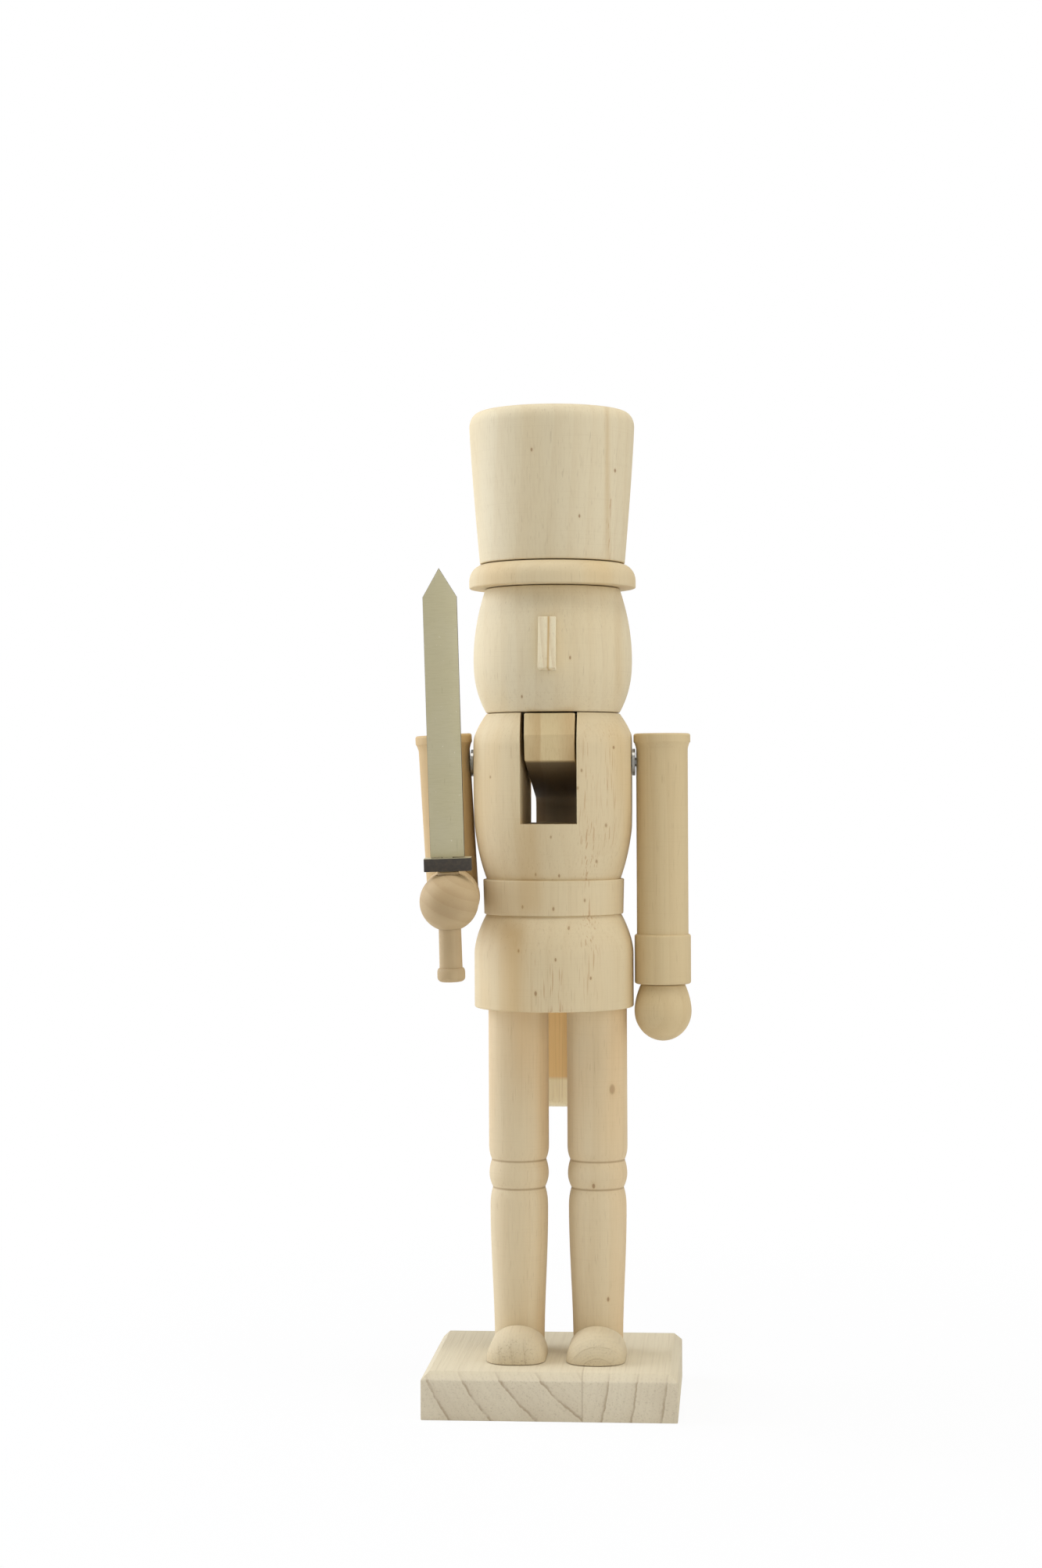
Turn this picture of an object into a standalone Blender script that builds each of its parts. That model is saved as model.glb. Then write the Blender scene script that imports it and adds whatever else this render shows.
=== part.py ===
"""Unpainted wooden nutcracker with a hinged jaw lever, two swinging arms and a sword.

Units are metres. +Z is up, the figure faces -Y, and the origin is the centre of the base's
underside. Left and right are the figure's own, so its left arm is at +X.
"""

import math

import bmesh
import bpy

# Clearances between pieces
SEAT_GAP = 0.0003
WASHER_GAP = 0.0004
SWING_CLEARANCE = 0.0003
HANDLE_CLEARANCE = 0.0014
JAW_GAP = 0.0004

# Base block
BASE_WIDTH = 0.096
BASE_DEPTH = 0.082
BASE_HEIGHT = 0.018
BASE_CHAMFER = 0.003

# Legs, from the base upwards; a fullness is the power of a turned curve
LEG_SPACING = 0.0304
LEG_SHIFT = 0.0013
ANKLE_LENGTH = 0.002
CALF_TAPER = 0.053
CALF_LENGTH = 0.0634
KNEE_LENGTH = 0.0107
THIGH_LENGTH = 0.0586
ANKLE_RADIUS = 0.0096
CALF_RADIUS = 0.01115
CALF_SHOULDER = 0.008
LOWER_GROOVE_RADIUS = 0.0101
BEAD_RADIUS = 0.01147
UPPER_GROOVE_RADIUS = 0.0105
THIGH_RADIUS = 0.0116
THIGH_SHOULDER = 0.006
THIGH_FULLNESS = 2.5
BEAD_FULLNESS = 2.0
CALF_FULLNESS = 2.5
LEG_DOWEL_RADIUS = 0.004
LEG_DOWEL_DEPTH = 0.012

# Screws that hold the legs to the base
SCREW_RADIUS = 0.002
SCREW_HEAD_RADIUS = 0.004
SCREW_HEAD_HEIGHT = 0.0026
SCREW_RECESS = 0.002
SCREW_BITE = 0.022

# Shoe toes
SHOE_RADIUS = 0.0112
SHOE_AXIS_LIFT = 0.0003
SHOE_REACH = 0.028
SHOE_NOSE = 0.009
SHOE_HEEL = 0.004
SHOE_BLUNTNESS = 0.8

# Body: skirt, belt and torso turned from one blank
SKIRT_HEIGHT = 0.036
SKIRT_FLARE = 0.0152
SKIRT_TOP_RADIUS = 0.026
SKIRT_RADIUS = 0.03075
SKIRT_EDGE = 0.0008
SKIRT_FULLNESS = 1.7
BELT_HEIGHT = 0.0134
BELT_TOP_RADIUS = 0.02725
BELT_BOTTOM_RADIUS = 0.0269
TORSO_HEIGHT = 0.0637
TORSO_BOTTOM_RADIUS = 0.0259
TORSO_RADIUS = 0.0312
TORSO_WIDEST = 0.0413
NECK_RADIUS = 0.0258
SHOULDER_SLOPE = 0.0124
SHOULDER_FLAT = 0.0303
SHOULDER_FULLNESS = 1.67
WAIST_FULLNESS = 2.85

# Jaw slot and jaw lever
LEVER_WIDTH = 0.019
SLOT_SIDE_GAP = 0.00125
LEVER_SHIFT = 0.0004
SLOT_DEPTH = 0.0423
PIVOT_SETBACK = 0.012
PIVOT_DROP = 0.0184
PIVOT_RADIUS = 0.0025
PIVOT_PIN_RECESS = 0.0015
CHIN_REACH = 0.0292
CHIN_HEIGHT = 0.0178
CHIN_RIDGE_DROP = 0.0082
CHIN_BEVEL = 0.0022
JAW_UNDERSIDE_SLOPE = math.radians(14)
JAW_OPENING = math.radians(30)
HANDLE_THICKNESS = 0.012
HANDLE_END_THICKNESS = 0.0105
HANDLE_LENGTH = 0.138
HANDLE_END_ROUND = 0.005
HANDLE_SHOULDER_ROUND = 0.006
HANDLE_INNER_ROUND = 0.004

# Head, nose and neck dowels
HEAD_HEIGHT = 0.0478
HEAD_BOTTOM_RADIUS = 0.02575
HEAD_RADIUS = 0.03065
HEAD_WIDEST = 0.0206
HEAD_TOP_RADIUS = 0.026
BROW_FULLNESS = 1.97
CHEEK_FULLNESS = 2.35
NECK_DOWEL_RADIUS = 0.003
NECK_DOWEL_DEPTH = 0.010
NOSE_WIDTH = 0.0066
NOSE_HEIGHT = 0.0209
NOSE_TOP_LEVEL = 0.0355
NOSE_TOP_DEPTH = 0.0022
NOSE_DEPTH = 0.0062
NOSE_UNDERCUT = 0.0012
NOSE_BURIED = 0.006

# Hat
BRIM_HEIGHT = 0.0092
BRIM_RADIUS = 0.0322
BRIM_ROUND_ACROSS = 0.0058
BRIM_ROUND_DOWN = 0.0063
CROWN_HEIGHT = 0.0583
CROWN_BOTTOM_RADIUS = 0.028
CROWN_TOP_RADIUS = 0.0319
CROWN_ROUND_ACROSS = 0.004
CROWN_ROUND_DOWN = 0.0055
CROWN_FULLNESS = 1.2
HAT_DOWEL_RADIUS = 0.005
HAT_DOWEL_DEPTH = 0.012

# Arms and hands
SHOULDER_DROP = 0.0188
SHOULDER_GAP = 0.0018
SHOULDER_PIN_RADIUS = 0.00175
SHOULDER_PIN_DEPTH = 0.010
SHOULDER_PIN_REACH = 0.003
WASHER_RADIUS = 0.0052
ARM_RADIUS = 0.00995
ARM_ABOVE_PIN = 0.011
ARM_LENGTH = 0.0964
RIM_RADIUS = 0.01095
RIM_HEIGHT = 0.0033
RIM_FLARE = 0.0026
RIM_HOLLOW = 0.6
TURNED_EDGE = 0.0009
CUFF_RADIUS = 0.01085
CUFF_HEIGHT = 0.0191
HAND_RADIUS = 0.011
HAND_TOP_RADIUS = 0.00855
HAND_RISE = 0.0101
HAND_DROP = 0.0116
HAND_FULLNESS = 1.8
HAND_DOWEL_RADIUS = 0.0025
HAND_DOWEL_DEPTH = 0.007
HAND_DOWEL_WALL = 0.0008

# Bent sword arm, as it stands on its pin
ELBOW_DROP = 0.0506
FOREARM_REACH = 0.0349
ELBOW_DOWEL_RADIUS = 0.0025
ELBOW_DOWEL_DEPTH = 0.008
SWORD_ARM_SWING = math.radians(1.9)
SWORD_ARM_LEAN = math.radians(-3.2)
SWORD_ARM_TOE_IN = math.radians(3.9)

# Sword
SWORD_LEAN_IN_HAND = math.radians(1.75)
GRIP_TOP_RADIUS = 0.004
GRIP_BOTTOM_RADIUS = 0.0043
GRIP_DROP = 0.0298
POMMEL_RADIUS = 0.0052
POMMEL_HEIGHT = 0.0052
GUARD_CLEARANCE = 0.0005
GUARD_WIDTH = 0.0176
GUARD_DEPTH = 0.010
GUARD_HEIGHT = 0.0049
BLADE_WIDTH = 0.01265
BLADE_LENGTH = 0.0965
BLADE_TIP = 0.0107
BLADE_THICKNESS = 0.004
TANG_WIDTH = 0.004
TANG_DEPTH = 0.006

# Facets of round pieces, and points along a rounded stretch of a profile
LARGE_FACETS = 40
SLIM_FACETS = 24
PIN_FACETS = 12
CURVE_POINTS = 5
ROUND_POINTS = 3

# Levels of the stacked pieces
LEG_BOTTOM = BASE_HEIGHT + SEAT_GAP
LOWER_GROOVE_LEVEL = LEG_BOTTOM + CALF_LENGTH
UPPER_GROOVE_LEVEL = LOWER_GROOVE_LEVEL + KNEE_LENGTH
LEG_TOP = UPPER_GROOVE_LEVEL + THIGH_LENGTH
SKIRT_BOTTOM = LEG_TOP + SEAT_GAP
BELT_BOTTOM = SKIRT_BOTTOM + SKIRT_HEIGHT
BELT_TOP = BELT_BOTTOM + BELT_HEIGHT
TORSO_TOP = BELT_TOP + TORSO_HEIGHT
HEAD_BOTTOM = TORSO_TOP + SEAT_GAP
HEAD_TOP = HEAD_BOTTOM + HEAD_HEIGHT
BRIM_BOTTOM = HEAD_TOP + SEAT_GAP
BRIM_TOP = BRIM_BOTTOM + BRIM_HEIGHT
CROWN_BOTTOM = BRIM_TOP + SEAT_GAP
CROWN_TOP = CROWN_BOTTOM + CROWN_HEIGHT

# Places that several pieces share
SLOT_WIDTH = LEVER_WIDTH + 2 * SLOT_SIDE_GAP
SHOULDER_LEVEL = TORSO_TOP - SHOULDER_DROP
PIVOT_LEVEL = TORSO_TOP - PIVOT_DROP
ARM_OFFSET = max(
    SHOULDER_FLAT + SHOULDER_GAP + ARM_RADIUS,
    SHOULDER_FLAT + WASHER_GAP + RIM_RADIUS,
    SKIRT_RADIUS + SWING_CLEARANCE + max(HAND_RADIUS, CUFF_RADIUS),
)
WASHER_THICKNESS = ARM_OFFSET - ARM_RADIUS - SHOULDER_FLAT - 2 * WASHER_GAP
BODY_REACH = max(TORSO_RADIUS, SKIRT_RADIUS)
NECK_DOWEL_OFFSET = (SLOT_WIDTH / 2 + NECK_RADIUS) / 2
SWORD_REACH = FOREARM_REACH + SEAT_GAP + HAND_RISE
HAND_DOWEL_ENTRY = HAND_RISE - GRIP_BOTTOM_RADIUS - 2 * SEAT_GAP - HAND_DOWEL_WALL
GUARD_BOTTOM = HAND_RADIUS + GUARD_CLEARANCE
BLADE_BOTTOM = GUARD_BOTTOM + GUARD_HEIGHT + SEAT_GAP
CUT_MARGIN = 0.004

# Finishes: colour, roughness, metallic
PALE_WOOD = ((0.76, 0.66, 0.47), 0.62, 0.0)
TAN_WOOD = ((0.62, 0.48, 0.29), 0.60, 0.0)
SAWN_WOOD = ((0.68, 0.58, 0.42), 0.72, 0.0)
JAW_WOOD = ((0.70, 0.57, 0.34), 0.64, 0.0)
DOWEL_WOOD = ((0.60, 0.46, 0.28), 0.70, 0.0)
STEEL = ((0.56, 0.57, 0.58), 0.35, 1.0)
SILVER_PAINT = ((0.42, 0.41, 0.32), 0.38, 0.55)
DARK_EDGE = ((0.06, 0.055, 0.045), 0.60, 0.0)


def clear_scene():
    """Remove every object that the new scene starts with."""
    for item in list(bpy.data.objects):
        bpy.data.objects.remove(item, do_unlink=True)


def new_collection(name):
    """Add a collection to the scene."""
    collection = bpy.data.collections.new(name)
    bpy.context.scene.collection.children.link(collection)
    return collection


def new_material(name, finish):
    """Make one piece's material from a finish."""
    colour, roughness, metallic = finish
    material = bpy.data.materials.new(name)
    material.use_nodes = True
    shader = material.node_tree.nodes["Principled BSDF"]
    shader.inputs["Base Color"].default_value = (*colour, 1.0)
    shader.inputs["Roughness"].default_value = roughness
    shader.inputs["Metallic"].default_value = metallic
    material.diffuse_color = (*colour, 1.0)
    return material


def swelling(narrow, wide, power):
    """Profile points from a narrow end to the widest ring, each given as (radius, height)."""
    points = []
    for step in range(CURVE_POINTS + 1):
        share = 1.0 - step / CURVE_POINTS
        radius = wide[0] - (wide[0] - narrow[0]) * share ** power
        height = wide[1] + (narrow[1] - wide[1]) * share
        points.append((radius, height))
    return points


def barrel(top, widest, bottom, top_power, bottom_power):
    """Profile points of a swelling piece, from its top ring over the widest to its bottom ring."""
    lower = swelling(bottom, widest, bottom_power)
    lower.reverse()
    return swelling(top, widest, top_power) + lower[1:]


def eased(top, bottom):
    """Profile points of a smooth taper between two rings."""
    points = []
    for step in range(CURVE_POINTS + 1):
        share = step / CURVE_POINTS
        blend = share * share * (3 - 2 * share)
        radius = top[0] + (bottom[0] - top[0]) * blend
        points.append((radius, top[1] + (bottom[1] - top[1]) * share))
    return points


def outer_round(radius, height, across, down, upper=True):
    """Profile points of a rounded edge that ends on the ring (radius, height)."""
    points = []
    for step in range(ROUND_POINTS + 1):
        angle = math.pi / 2 * (1 - step / ROUND_POINTS)
        inset = across * (1 - math.cos(angle))
        rise = down * math.sin(angle)
        points.append((radius - inset, height + (rise if upper else -rise)))
    if not upper:
        points.reverse()
    return points


def rounded_outline(corners):
    """Outline points of a polygon whose corners are (across, up, radius)."""
    points = []
    count = len(corners)
    for index, (across, up, radius) in enumerate(corners):
        if radius == 0:
            points.append((across, up))
            continue
        before = corners[index - 1]
        after = corners[(index + 1) % count]
        in_angle = math.atan2(before[1] - up, before[0] - across)
        out_angle = math.atan2(after[1] - up, after[0] - across)
        turn = (out_angle - in_angle + math.pi) % (2 * math.pi) - math.pi
        trim = radius / math.tan(abs(turn) / 2)
        bisector = in_angle + turn / 2
        reach = radius / math.sin(abs(turn) / 2)
        centre = (across + reach * math.cos(bisector), up + reach * math.sin(bisector))
        start = (across + trim * math.cos(in_angle), up + trim * math.sin(in_angle))
        first = math.atan2(start[1] - centre[1], start[0] - centre[0])
        sweep = math.copysign(math.pi - abs(turn), -turn)
        for step in range(ROUND_POINTS + 1):
            angle = first + sweep * step / ROUND_POINTS
            points.append((centre[0] + radius * math.cos(angle), centre[1] + radius * math.sin(angle)))
    return points


def place(item, location, rotation, parent):
    """Set an object's place, in its parent's frame where it has one."""
    item.location = location
    item.rotation_euler = rotation
    if parent is not None:
        item.parent = parent
    return item


def turned_object(name, profile, facets):
    """A solid of revolution about its own Z axis, from a profile that runs top to bottom."""
    mesh = bpy.data.meshes.new(name)
    vertices = [(radius, 0.0, height) for radius, height in profile]
    edges = [(index, index + 1) for index in range(len(profile) - 1)]
    mesh.from_pydata(vertices, edges, [])
    item = bpy.data.objects.new(name, mesh)
    screw = item.modifiers.new("Turning", "SCREW")
    screw.axis = "Z"
    screw.angle = 2 * math.pi
    screw.steps = facets
    screw.render_steps = facets
    screw.use_merge_vertices = True
    screw.merge_threshold = 0.00001
    screw.use_smooth_shade = True
    return item


def round_profile(radius, top, bottom):
    """Profile of a plain round bar."""
    return [(0.0, top), (radius, top), (radius, bottom), (0.0, bottom)]


def board_mesh(name, outline, thickness):
    """A flat board: an outline in XY, extruded to both sides of its plane."""
    curve = bpy.data.curves.new(name, "CURVE")
    curve.dimensions = "2D"
    curve.fill_mode = "BOTH"
    curve.extrude = thickness / 2
    spline = curve.splines.new("POLY")
    spline.points.add(len(outline) - 1)
    for point, (across, up) in zip(spline.points, outline):
        point.co = (across, up, 0.0, 1.0)
    spline.use_cyclic_u = True
    guide = bpy.data.objects.new(name + "_outline", curve)
    bpy.context.scene.collection.objects.link(guide)
    graph = bpy.context.evaluated_depsgraph_get()
    mesh = bpy.data.meshes.new_from_object(guide.evaluated_get(graph))
    bpy.data.objects.remove(guide, do_unlink=True)
    welded = bmesh.new()
    welded.from_mesh(mesh)
    bmesh.ops.remove_doubles(welded, verts=welded.verts, dist=0.000001)
    bmesh.ops.recalc_face_normals(welded, faces=welded.faces)
    welded.to_mesh(mesh)
    welded.free()
    return mesh


def block_mesh(name, size):
    """A box about its own centre."""
    mesh = bpy.data.meshes.new(name)
    block = bmesh.new()
    bmesh.ops.create_cube(block, size=1.0)
    bmesh.ops.scale(block, verts=block.verts, vec=size)
    block.to_mesh(mesh)
    block.free()
    return mesh


class Workshop:
    """Keeps the collections, and makes pieces and cutters in them."""

    def __init__(self):
        self.parts = new_collection("nutcracker")
        self.cutters = new_collection("nutcracker_cutters")

    def empty(self, name, location, rotation=(0, 0, 0), parent=None):
        """A frame that other pieces hang on."""
        item = bpy.data.objects.new(name, None)
        item.empty_display_size = 0.01
        self.parts.objects.link(item)
        return place(item, location, rotation, parent)

    def finish(self, item, look, location, rotation, parent):
        """File a piece with its own material."""
        item.data.materials.append(new_material(item.name, look))
        self.parts.objects.link(item)
        return place(item, location, rotation, parent)

    def turned(self, name, profile, look, facets, location=(0, 0, 0), rotation=(0, 0, 0), parent=None):
        """A turned piece."""
        item = turned_object(name, profile, facets)
        return self.finish(item, look, location, rotation, parent)

    def board(self, name, outline, thickness, look, location, rotation, parent=None):
        """A piece sawn from a flat board."""
        item = bpy.data.objects.new(name, board_mesh(name, outline, thickness))
        return self.finish(item, look, location, rotation, parent)

    def block(self, name, size, look, location, rotation=(0, 0, 0), parent=None):
        """A square block."""
        item = bpy.data.objects.new(name, block_mesh(name, size))
        return self.finish(item, look, location, rotation, parent)

    def hide(self, item, location, rotation, parent):
        """File a cutter, out of sight."""
        item.hide_render = True
        item.display_type = "WIRE"
        self.cutters.objects.link(item)
        return place(item, location, rotation, parent)

    def round_cutter(self, name, profile, facets, location=(0, 0, 0), rotation=(0, 0, 0), parent=None):
        """A turned cutter."""
        return self.hide(turned_object(name, profile, facets), location, rotation, parent)

    def block_cutter(self, name, size, location, rotation=(0, 0, 0), parent=None):
        """A square cutter."""
        item = bpy.data.objects.new(name, block_mesh(name, size))
        return self.hide(item, location, rotation, parent)

    def cut(self, item, *cutters):
        """Cut a piece with each cutter."""
        for cutter in cutters:
            boolean = item.modifiers.new(cutter.name, "BOOLEAN")
            boolean.operation = "DIFFERENCE"
            boolean.solver = "EXACT"
            boolean.object = cutter


FLAT_BOARD = (math.pi / 2, 0, math.pi / 2)
UPRIGHT_BOARD = (math.pi / 2, 0, 0)
ALONG_X = (0, math.pi / 2, 0)
FORWARD = (math.pi / 2, 0, 0)
SIDES = {"left": 1, "right": -1}


def dowel_hole(workshop, name, radius, top, bottom, location=(0, 0, 0), rotation=(0, 0, 0), parent=None):
    """Cutter for a dowel's hole, with its clearance all round."""
    profile = round_profile(radius + SEAT_GAP, top + SEAT_GAP, bottom - SEAT_GAP)
    return workshop.round_cutter(name, profile, PIN_FACETS, location, rotation, parent)


def build_base(workshop):
    """Base block with a chamfered top edge and a counterbored hole under each leg."""
    base = workshop.block(
        "base", (BASE_WIDTH, BASE_DEPTH, BASE_HEIGHT), SAWN_WOOD, (0, 0, BASE_HEIGHT / 2)
    )
    block = bmesh.new()
    block.from_mesh(base.data)
    top_edges = [edge for edge in block.edges if min(vertex.co.z for vertex in edge.verts) > 0]
    bmesh.ops.bevel(block, geom=top_edges, offset=BASE_CHAMFER, segments=1, affect="EDGES")
    block.to_mesh(base.data)
    block.free()
    return base


def leg_profile():
    """Profile of a leg: thigh, beaded knee, tapering calf and ankle."""
    bead_level = (LOWER_GROOVE_LEVEL + UPPER_GROOVE_LEVEL) / 2
    upper_groove = (UPPER_GROOVE_RADIUS, UPPER_GROOVE_LEVEL)
    lower_groove = (LOWER_GROOVE_RADIUS, LOWER_GROOVE_LEVEL)
    thigh_low = (THIGH_RADIUS, UPPER_GROOVE_LEVEL + THIGH_SHOULDER)
    thigh_end = swelling(upper_groove, thigh_low, THIGH_FULLNESS)
    thigh_end.reverse()
    bead = barrel(upper_groove, (BEAD_RADIUS, bead_level), lower_groove, BEAD_FULLNESS, BEAD_FULLNESS)
    calf_top = (CALF_RADIUS, LOWER_GROOVE_LEVEL - CALF_SHOULDER)
    calf_start = swelling(lower_groove, calf_top, CALF_FULLNESS)
    ankle_top = LEG_BOTTOM + ANKLE_LENGTH
    taper = eased((CALF_RADIUS, ankle_top + CALF_TAPER), (ANKLE_RADIUS, ankle_top))
    return (
        [(0.0, LEG_TOP), (THIGH_RADIUS, LEG_TOP)]
        + thigh_end
        + bead[1:-1]
        + calf_start
        + taper
        + [(ANKLE_RADIUS, LEG_BOTTOM), (0.0, LEG_BOTTOM)]
    )


def shoe_profile():
    """Profile of the turned toe that each shoe is sawn from, with its nose at the top."""
    nose = []
    for step in range(CURVE_POINTS + 1):
        angle = math.pi / 2 * step / CURVE_POINTS
        height = SHOE_REACH - SHOE_NOSE * (1 - math.cos(angle))
        nose.append((SHOE_RADIUS * math.sin(angle) ** SHOE_BLUNTNESS, height))
    return nose + [(SHOE_RADIUS, SHOE_HEEL), (0.0, SHOE_HEEL)]


def screw_profile():
    """Profile of a countersunk screw, tip at the top."""
    tip = LEG_BOTTOM + SCREW_BITE
    neck = SCREW_RECESS + SCREW_HEAD_HEIGHT
    return [
        (0.0, tip),
        (SCREW_RADIUS, tip - 2 * SCREW_RADIUS),
        (SCREW_RADIUS, neck),
        (SCREW_HEAD_RADIUS, SCREW_RECESS),
        (0.0, SCREW_RECESS),
    ]


def screw_hole_profile():
    """Profile of a screw's hole: pilot, shank, countersink and mouth."""
    tip = LEG_BOTTOM + SCREW_BITE + SEAT_GAP
    neck = SCREW_RECESS + SCREW_HEAD_HEIGHT + SEAT_GAP
    shank = SCREW_RADIUS + SEAT_GAP
    mouth = SCREW_HEAD_RADIUS + SEAT_GAP
    return [
        (0.0, tip),
        (shank, tip),
        (shank, neck),
        (mouth, SCREW_RECESS),
        (mouth, -CUT_MARGIN),
        (0.0, -CUT_MARGIN),
    ]


def build_legs(workshop, base, body):
    """Legs with their screws, dowels and shoe toes, cut into the base and the skirt."""
    toe_level = BASE_HEIGHT + SEAT_GAP + SHOE_AXIS_LIFT
    sole_depth = SHOE_RADIUS + SHOE_AXIS_LIFT
    for side, sign in SIDES.items():
        at = (LEG_SHIFT + sign * LEG_SPACING / 2, 0, 0)
        leg = workshop.turned(side + "_leg", leg_profile(), PALE_WOOD, SLIM_FACETS, at)
        workshop.turned(side + "_leg_screw", screw_profile(), STEEL, PIN_FACETS, at)
        screw_hole = workshop.round_cutter(side + "_leg_screw_hole", screw_hole_profile(), PIN_FACETS, at)
        dowel_top = SKIRT_BOTTOM + LEG_DOWEL_DEPTH
        dowel_bottom = LEG_TOP - LEG_DOWEL_DEPTH
        dowel = round_profile(LEG_DOWEL_RADIUS, dowel_top, dowel_bottom)
        workshop.turned(side + "_leg_dowel", dowel, DOWEL_WOOD, PIN_FACETS, at)
        hole = dowel_hole(workshop, side + "_leg_dowel_hole", LEG_DOWEL_RADIUS, dowel_top, dowel_bottom, at)
        workshop.cut(leg, screw_hole, hole)
        workshop.cut(base, screw_hole)
        workshop.cut(body, hole)

        shoe_at = (at[0], 0, toe_level)
        shoe = workshop.turned(side + "_shoe", shoe_profile(), SAWN_WOOD, SLIM_FACETS, shoe_at, FORWARD)
        sole_size = (4 * SHOE_RADIUS, 4 * SHOE_REACH, 2 * sole_depth)
        sole_at = (at[0], 0, toe_level - SHOE_AXIS_LIFT - sole_depth)
        sole = workshop.block_cutter(side + "_shoe_sole_cut", sole_size, sole_at)
        cove = round_profile(ANKLE_RADIUS + SEAT_GAP, LEG_BOTTOM + 2 * SHOE_RADIUS, 0.0)
        ankle = workshop.round_cutter(side + "_shoe_ankle_cut", cove, SLIM_FACETS, at)
        workshop.cut(shoe, sole, ankle)


def body_profile():
    """Profile of the body: torso over belt over skirt."""
    neck = (NECK_RADIUS, TORSO_TOP)
    waist = (TORSO_BOTTOM_RADIUS, BELT_TOP)
    shoulders = swelling(neck, (TORSO_RADIUS, TORSO_TOP - SHOULDER_SLOPE), SHOULDER_FULLNESS)
    chest = swelling(waist, (TORSO_RADIUS, BELT_TOP + TORSO_WIDEST), WAIST_FULLNESS)
    chest.reverse()
    flare_end = (SKIRT_RADIUS, BELT_BOTTOM - SKIRT_FLARE)
    flare = swelling((SKIRT_TOP_RADIUS, BELT_BOTTOM), flare_end, SKIRT_FULLNESS)
    hem = outer_round(SKIRT_RADIUS, SKIRT_BOTTOM + SKIRT_EDGE, SKIRT_EDGE, SKIRT_EDGE, upper=False)
    return (
        [(0.0, TORSO_TOP)]
        + shoulders
        + chest
        + [(BELT_TOP_RADIUS, BELT_TOP), (BELT_BOTTOM_RADIUS, BELT_BOTTOM)]
        + flare
        + hem
        + [(0.0, SKIRT_BOTTOM)]
    )


def build_body(workshop):
    """Torso, belt and skirt in one, with the jaw slot through it and a flat under each arm."""
    body = workshop.turned("body", body_profile(), PALE_WOOD, LARGE_FACETS)
    slot_height = SLOT_DEPTH + CUT_MARGIN
    slot_size = (SLOT_WIDTH, 4 * BODY_REACH, slot_height)
    slot = workshop.block_cutter("jaw_slot", slot_size, (0, 0, TORSO_TOP - SLOT_DEPTH + slot_height / 2))
    workshop.cut(body, slot)
    waste_height = TORSO_HEIGHT + CUT_MARGIN
    waste_size = (BODY_REACH, 4 * BODY_REACH, waste_height)
    for side, sign in SIDES.items():
        waste_at = (sign * (SHOULDER_FLAT + BODY_REACH / 2), 0, BELT_TOP + waste_height / 2)
        workshop.cut(body, workshop.block_cutter(side + "_shoulder_flat", waste_size, waste_at))
    return body


def lever_outline():
    """Side outline of the jaw lever about its pivot: chin, neck and handle, as (back, up)."""
    top = PIVOT_DROP - JAW_GAP
    chin_bottom = top - CHIN_HEIGHT
    front = -CHIN_REACH - PIVOT_SETBACK
    handle_front = BODY_REACH + HANDLE_CLEARANCE - PIVOT_SETBACK
    handle_back = handle_front + HANDLE_THICKNESS
    handle_end = top - CHIN_HEIGHT - HANDLE_LENGTH
    neck_bottom = chin_bottom - (handle_front - front - CHIN_BEVEL) * math.tan(JAW_UNDERSIDE_SLOPE)
    slope_start = top * (1 - math.cos(JAW_OPENING)) / math.sin(JAW_OPENING)
    shoulder = top - (handle_back - slope_start) * math.tan(JAW_OPENING)
    return rounded_outline(
        [
            (slope_start, top, 0),
            (front + CHIN_BEVEL, top, 0),
            (front, top - CHIN_RIDGE_DROP, 0),
            (front + CHIN_BEVEL, chin_bottom, 0),
            (handle_front, neck_bottom, HANDLE_INNER_ROUND),
            (handle_front, handle_end, HANDLE_END_ROUND),
            (handle_front + HANDLE_END_THICKNESS, handle_end, HANDLE_END_ROUND),
            (handle_back, shoulder, HANDLE_SHOULDER_ROUND),
        ]
    )


def build_jaw(workshop, body):
    """Jaw lever on its pivot pin, which crosses the body behind the mouth."""
    pivot = (0, PIVOT_SETBACK, PIVOT_LEVEL)
    lever_at = (LEVER_SHIFT, PIVOT_SETBACK, PIVOT_LEVEL)
    lever = workshop.board("jaw_lever", lever_outline(), LEVER_WIDTH, JAW_WOOD, lever_at, FLAT_BOARD)
    pin_half = math.sqrt(TORSO_RADIUS ** 2 - (PIVOT_SETBACK + PIVOT_RADIUS) ** 2) - PIVOT_PIN_RECESS
    pin = round_profile(PIVOT_RADIUS, pin_half, -pin_half)
    workshop.turned("pivot_pin", pin, STEEL, PIN_FACETS, pivot, ALONG_X)
    hole = round_profile(PIVOT_RADIUS + SEAT_GAP, 2 * TORSO_RADIUS, -2 * TORSO_RADIUS)
    pin_hole = workshop.round_cutter("pivot_pin_hole", hole, PIN_FACETS, pivot, ALONG_X)
    workshop.cut(lever, pin_hole)
    workshop.cut(body, pin_hole)


def head_profile(grown=0.0):
    """Profile of the head, grown all over by a clearance where it is used as a cutter."""
    top = (HEAD_TOP_RADIUS + grown, HEAD_TOP)
    widest = (HEAD_RADIUS + grown, HEAD_BOTTOM + HEAD_WIDEST)
    bottom = (HEAD_BOTTOM_RADIUS + grown, HEAD_BOTTOM)
    side = barrel(top, widest, bottom, BROW_FULLNESS, CHEEK_FULLNESS)
    return [(0.0, HEAD_TOP)] + side + [(0.0, HEAD_BOTTOM)]


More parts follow.
